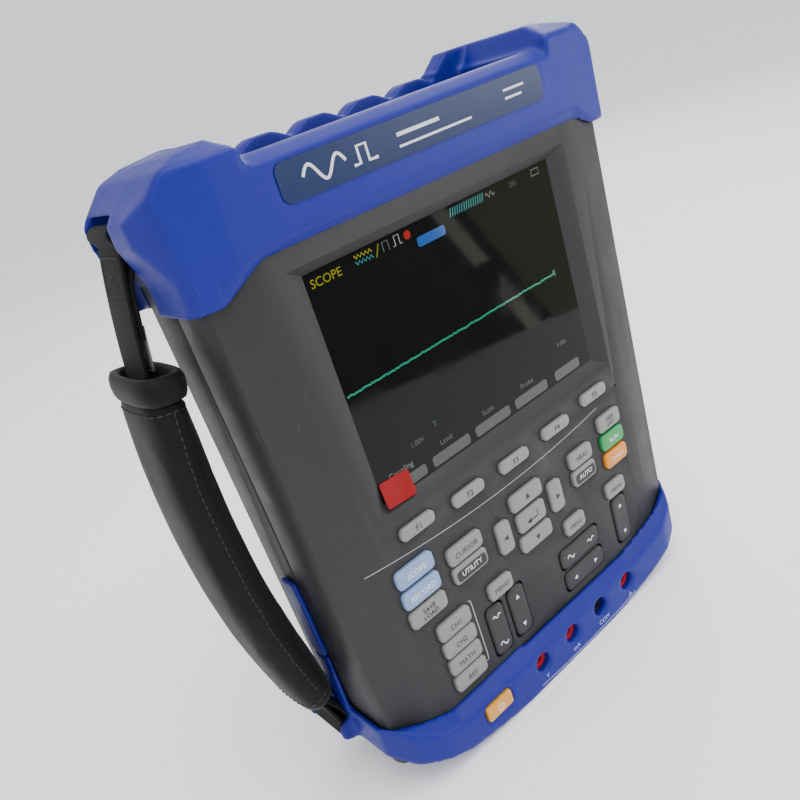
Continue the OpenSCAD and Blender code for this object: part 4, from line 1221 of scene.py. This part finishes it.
def puffed(obj, voxel, cap):
    """Fills a sleeve with pressure as cloth and keeps every point within cap of where it began."""
    remesh = obj.modifiers.new("skin", "REMESH")
    remesh.mode = "VOXEL"
    remesh.voxel_size = voxel
    obj = smoothed(baked(obj, obj.name))
    start = np.empty(len(obj.data.vertices) * 3)
    obj.data.vertices.foreach_get("co", start)
    start = start.reshape(-1, 3)
    cloth = obj.modifiers.new("fill", "CLOTH")
    cloth.settings.quality = 6
    cloth.settings.use_pressure = True
    cloth.settings.uniform_pressure_force = 4.0
    cloth.settings.effector_weights.gravity = 0.0
    scene = bpy.context.scene
    for f in range(1, 21):
        scene.frame_set(f)
    graph = bpy.context.evaluated_depsgraph_get()
    swollen = obj.evaluated_get(graph).to_mesh()
    moved = np.empty(len(swollen.vertices) * 3)
    swollen.vertices.foreach_get("co", moved)
    obj.evaluated_get(graph).to_mesh_clear()
    step = moved.reshape(-1, 3) - start
    size = np.linalg.norm(step, axis=1, keepdims=True)
    step *= np.minimum(1.0, cap / np.maximum(size, 1e-9))
    obj.modifiers.remove(cloth)
    scene.frame_set(1)
    obj.data.vertices.foreach_set("co", (start + step).ravel())
    obj.data.update()
    finer = obj.modifiers.new("finer", "SUBSURF")
    finer.levels = finer.render_levels = 1
    return baked(obj, obj.name)


# ---------------------------------------------------------------- stage


def area_light(name, place, target, size, power):
    data = bpy.data.lights.new(name, "AREA")
    data.shape = "RECTANGLE"
    data.size, data.size_y = size
    data.energy = power * settings().stage.light
    lamp = added(name, data)
    lamp.location = place
    lamp.rotation_euler = (Vector(target) - Vector(place)).to_track_quat("-Z", "Y").to_euler()


def reflection_card(name, places, distance, strength, tint):
    """A card that only shows in glossy surfaces, set to be seen at four places on the display."""
    mesh = bpy.data.meshes.new(name)
    mesh.from_pydata([[c * MM for c in mirrored(u, v, distance)] for u, v in places], [], [(0, 1, 2, 3)])
    card = added(name, mesh)
    material = bpy.data.materials.new(name)
    material.use_nodes = True
    tree = material.node_tree
    tree.nodes.clear()
    glow = tree.nodes.new("ShaderNodeEmission")
    glow.inputs["Color"].default_value = (*tint, 1)
    glow.inputs["Strength"].default_value = strength
    out = tree.nodes.new("ShaderNodeOutputMaterial")
    tree.links.new(glow.outputs[0], out.inputs["Surface"])
    mesh.materials.append(material)
    card.visible_camera = card.visible_diffuse = card.visible_shadow = card.visible_transmission = False


def mirrored(u, v, distance):
    """Where the camera looks, via the screen, from a place on the display."""
    x, z = on_screen(u, v)
    hit = np.array([x, WINDOW_Y, z])
    d = hit - np.array(CAMERA_PLACE) / MM
    d /= np.linalg.norm(d)
    d[1] = -d[1]
    return tuple(hit + d * distance)


CAMERA_PLACE = (-0.1722, -0.2266, 0.2440)
CAMERA_RIGHT = (0.7305, -0.6183, -0.2900)
CAMERA_UP = (0.4609, 0.1331, 0.8774)
CAMERA_AHEAD = (0.5039, 0.7746, -0.3822)


def build_stage():
    s = settings().stage
    f = Finish("studio_floor", s.floor_colour, 0.85, specular=0.0)
    f.shader.inputs["Emission Color"].default_value = (1, 1, 1, 1)
    f.shader.inputs["Emission Strength"].default_value = s.floor_glow
    paper = f.group(mould_grain, Grain=1.4, Mottle=180.0)
    f.tint(paper.outputs["Cloud"], shade(s.floor_colour, 1.04), 0.5)
    f.bump(paper.outputs["Height"], 0.05)
    reach = 9000
    corners = [(i * reach, k * reach, 0) for i, k in SQUARE]
    piece("floor", corners, [(0, 1, 2, 3)], [f.material], smooth=False, recalc=False)
    world = bpy.data.worlds.new("studio")
    bpy.context.scene.world = world
    world.use_nodes = True
    sky = world.node_tree.nodes["Background"]
    sky.inputs["Color"].default_value = (0.93, 0.95, 1.0, 1)
    sky.inputs["Strength"].default_value = 1.15 * s.light
    middle = (0, 0, 0.12)
    area_light("overhead", (0.1, -0.35, 1.1), middle, (1.3, 0.9), 13)
    area_light("left_front", (-1.0, -0.8, 0.7), middle, (0.8, 0.8), 2.4)
    area_light("right_low", (0.6, -0.55, 0.16), (0.05, 0, 0.1), (0.4, 0.4), 2.6)
    area_light("right_back", (0.9, 0.7, 0.9), middle, (0.7, 0.7), 5)
    for name, places, distance, strength, tint in (
            ("window_flag", [(-25, -30), (140, -30), (140, 110), (-25, 110)], 420.0, 0.012, (0.9, 1.0, 0.95)),
            ("window_strip", [(54.5, 84), (61.5, 84), (106, 4), (98, 4)], 400.0, 3.0, (1.0, 0.97, 0.88)),
            ("window_pane", [(67.5, 84), (118, 84), (118, 4), (110, 8)], 400.0, 1.0, (0.86, 0.95, 0.62))):
        reflection_card(name, places, distance, strength, tint)
    data = bpy.data.cameras.new("camera")
    data.lens, data.sensor_width = 35.72, 36.0
    data.clip_start, data.clip_end = 0.005, 20
    camera = added("camera", data)
    axes = (Vector(CAMERA_RIGHT), Vector(CAMERA_UP), -Vector(CAMERA_AHEAD))
    camera.matrix_world = Matrix([(*(axis[i] for axis in axes), CAMERA_PLACE[i]) for i in range(3)]
                                 + [(0, 0, 0, 1)])
    bpy.context.scene.camera = camera


# ---------------------------------------------------------------- add-on


class ScopeSettings(bpy.types.PropertyGroup):
    case: PointerProperty(type=CaseSettings)
    keys: PointerProperty(type=KeySettings)
    screen: PointerProperty(type=ScreenSettings)
    strap: PointerProperty(type=StrapSettings)
    stage: PointerProperty(type=StageSettings)


class SCOPE_OT_shells(bpy.types.Operator):
    """Finish the case shells, battery cover, stand and fixings"""
    bl_idname = "scope.shells"
    bl_label = "Shells"

    def execute(self, context):
        build_shells()
        return {"FINISHED"}


class SCOPE_OT_caps(bpy.types.Operator):
    """Make the blue rubber caps and port covers"""
    bl_idname = "scope.caps"
    bl_label = "Rubber caps"

    def execute(self, context):
        build_caps()
        return {"FINISHED"}


class SCOPE_OT_keys(bpy.types.Operator):
    """Make the light keys with their prints"""
    bl_idname = "scope.keys"
    bl_label = "Keys"

    def execute(self, context):
        build_keys()
        return {"FINISHED"}


class SCOPE_OT_rockers(bpy.types.Operator):
    """Make the dark rockers with their prints"""
    bl_idname = "scope.rockers"
    bl_label = "Rockers"

    def execute(self, context):
        build_rockers()
        return {"FINISHED"}


class SCOPE_OT_power_key(bpy.types.Operator):
    """Make the power key"""
    bl_idname = "scope.power_key"
    bl_label = "Power key"

    def execute(self, context):
        build_power_key()
        return {"FINISHED"}


class SCOPE_OT_name_plate(bpy.types.Operator):
    """Finish the name plate and its generic marks"""
    bl_idname = "scope.name_plate"
    bl_label = "Name plate"

    def execute(self, context):
        build_name_plate()
        return {"FINISHED"}


class SCOPE_OT_screen(bpy.types.Operator):
    """Make the screen window, its picture and the film tab"""
    bl_idname = "scope.screen"
    bl_label = "Screen"

    def execute(self, context):
        build_screen()
        return {"FINISHED"}


class SCOPE_OT_sockets(bpy.types.Operator):
    """Finish the sockets and add their contacts"""
    bl_idname = "scope.sockets"
    bl_label = "Sockets"

    def execute(self, context):
        build_sockets()
        return {"FINISHED"}


class SCOPE_OT_inside(bpy.types.Operator):
    """Finish the pieces inside the case"""
    bl_idname = "scope.inside"
    bl_label = "Inside"

    def execute(self, context):
        build_inside()
        return {"FINISHED"}


class SCOPE_OT_strap(bpy.types.Operator):
    """Make the webbing, the padded sleeve and their stitching"""
    bl_idname = "scope.strap"
    bl_label = "Hand strap"

    def execute(self, context):
        build_strap()
        return {"FINISHED"}


class SCOPE_OT_stage(bpy.types.Operator):
    """Make the floor, lights and camera"""
    bl_idname = "scope.stage"
    bl_label = "Studio"

    def execute(self, context):
        build_stage()
        return {"FINISHED"}


OPERATORS = (SCOPE_OT_shells, SCOPE_OT_caps, SCOPE_OT_keys, SCOPE_OT_rockers, SCOPE_OT_power_key,
             SCOPE_OT_name_plate, SCOPE_OT_screen, SCOPE_OT_sockets, SCOPE_OT_inside, SCOPE_OT_strap,
             SCOPE_OT_stage)


class SCOPE_PT_panel(bpy.types.Panel):
    """Lists the settings and the operators"""
    bl_idname = "SCOPE_PT_panel"
    bl_label = "Oscilloscope"
    bl_space_type = "VIEW_3D"
    bl_region_type = "UI"
    bl_category = "Oscilloscope"

    def draw(self, context):
        for group in ("case", "keys", "screen", "strap", "stage"):
            values = getattr(context.scene.oscilloscope, group)
            box = self.layout.box()
            box.label(text=group.title())
            for prop in values.bl_rna.properties:
                if prop.identifier not in ("rna_type", "name"):
                    box.prop(values, prop.identifier)
        for operator in OPERATORS:
            self.layout.operator(operator.bl_idname)


CLASSES = (CaseSettings, KeySettings, ScreenSettings, StrapSettings, StageSettings, ScopeSettings,
           *OPERATORS, SCOPE_PT_panel)


def register():
    for cls in CLASSES:
        bpy.utils.register_class(cls)
    bpy.types.Scene.oscilloscope = PointerProperty(type=ScopeSettings)


def unregister():
    del bpy.types.Scene.oscilloscope
    for cls in reversed(CLASSES):
        bpy.utils.unregister_class(cls)


def main():
    register()
    for operator in OPERATORS:
        group, name = operator.bl_idname.split(".")
        getattr(getattr(bpy.ops, group), name)()


if __name__ == "__main__":
    main()
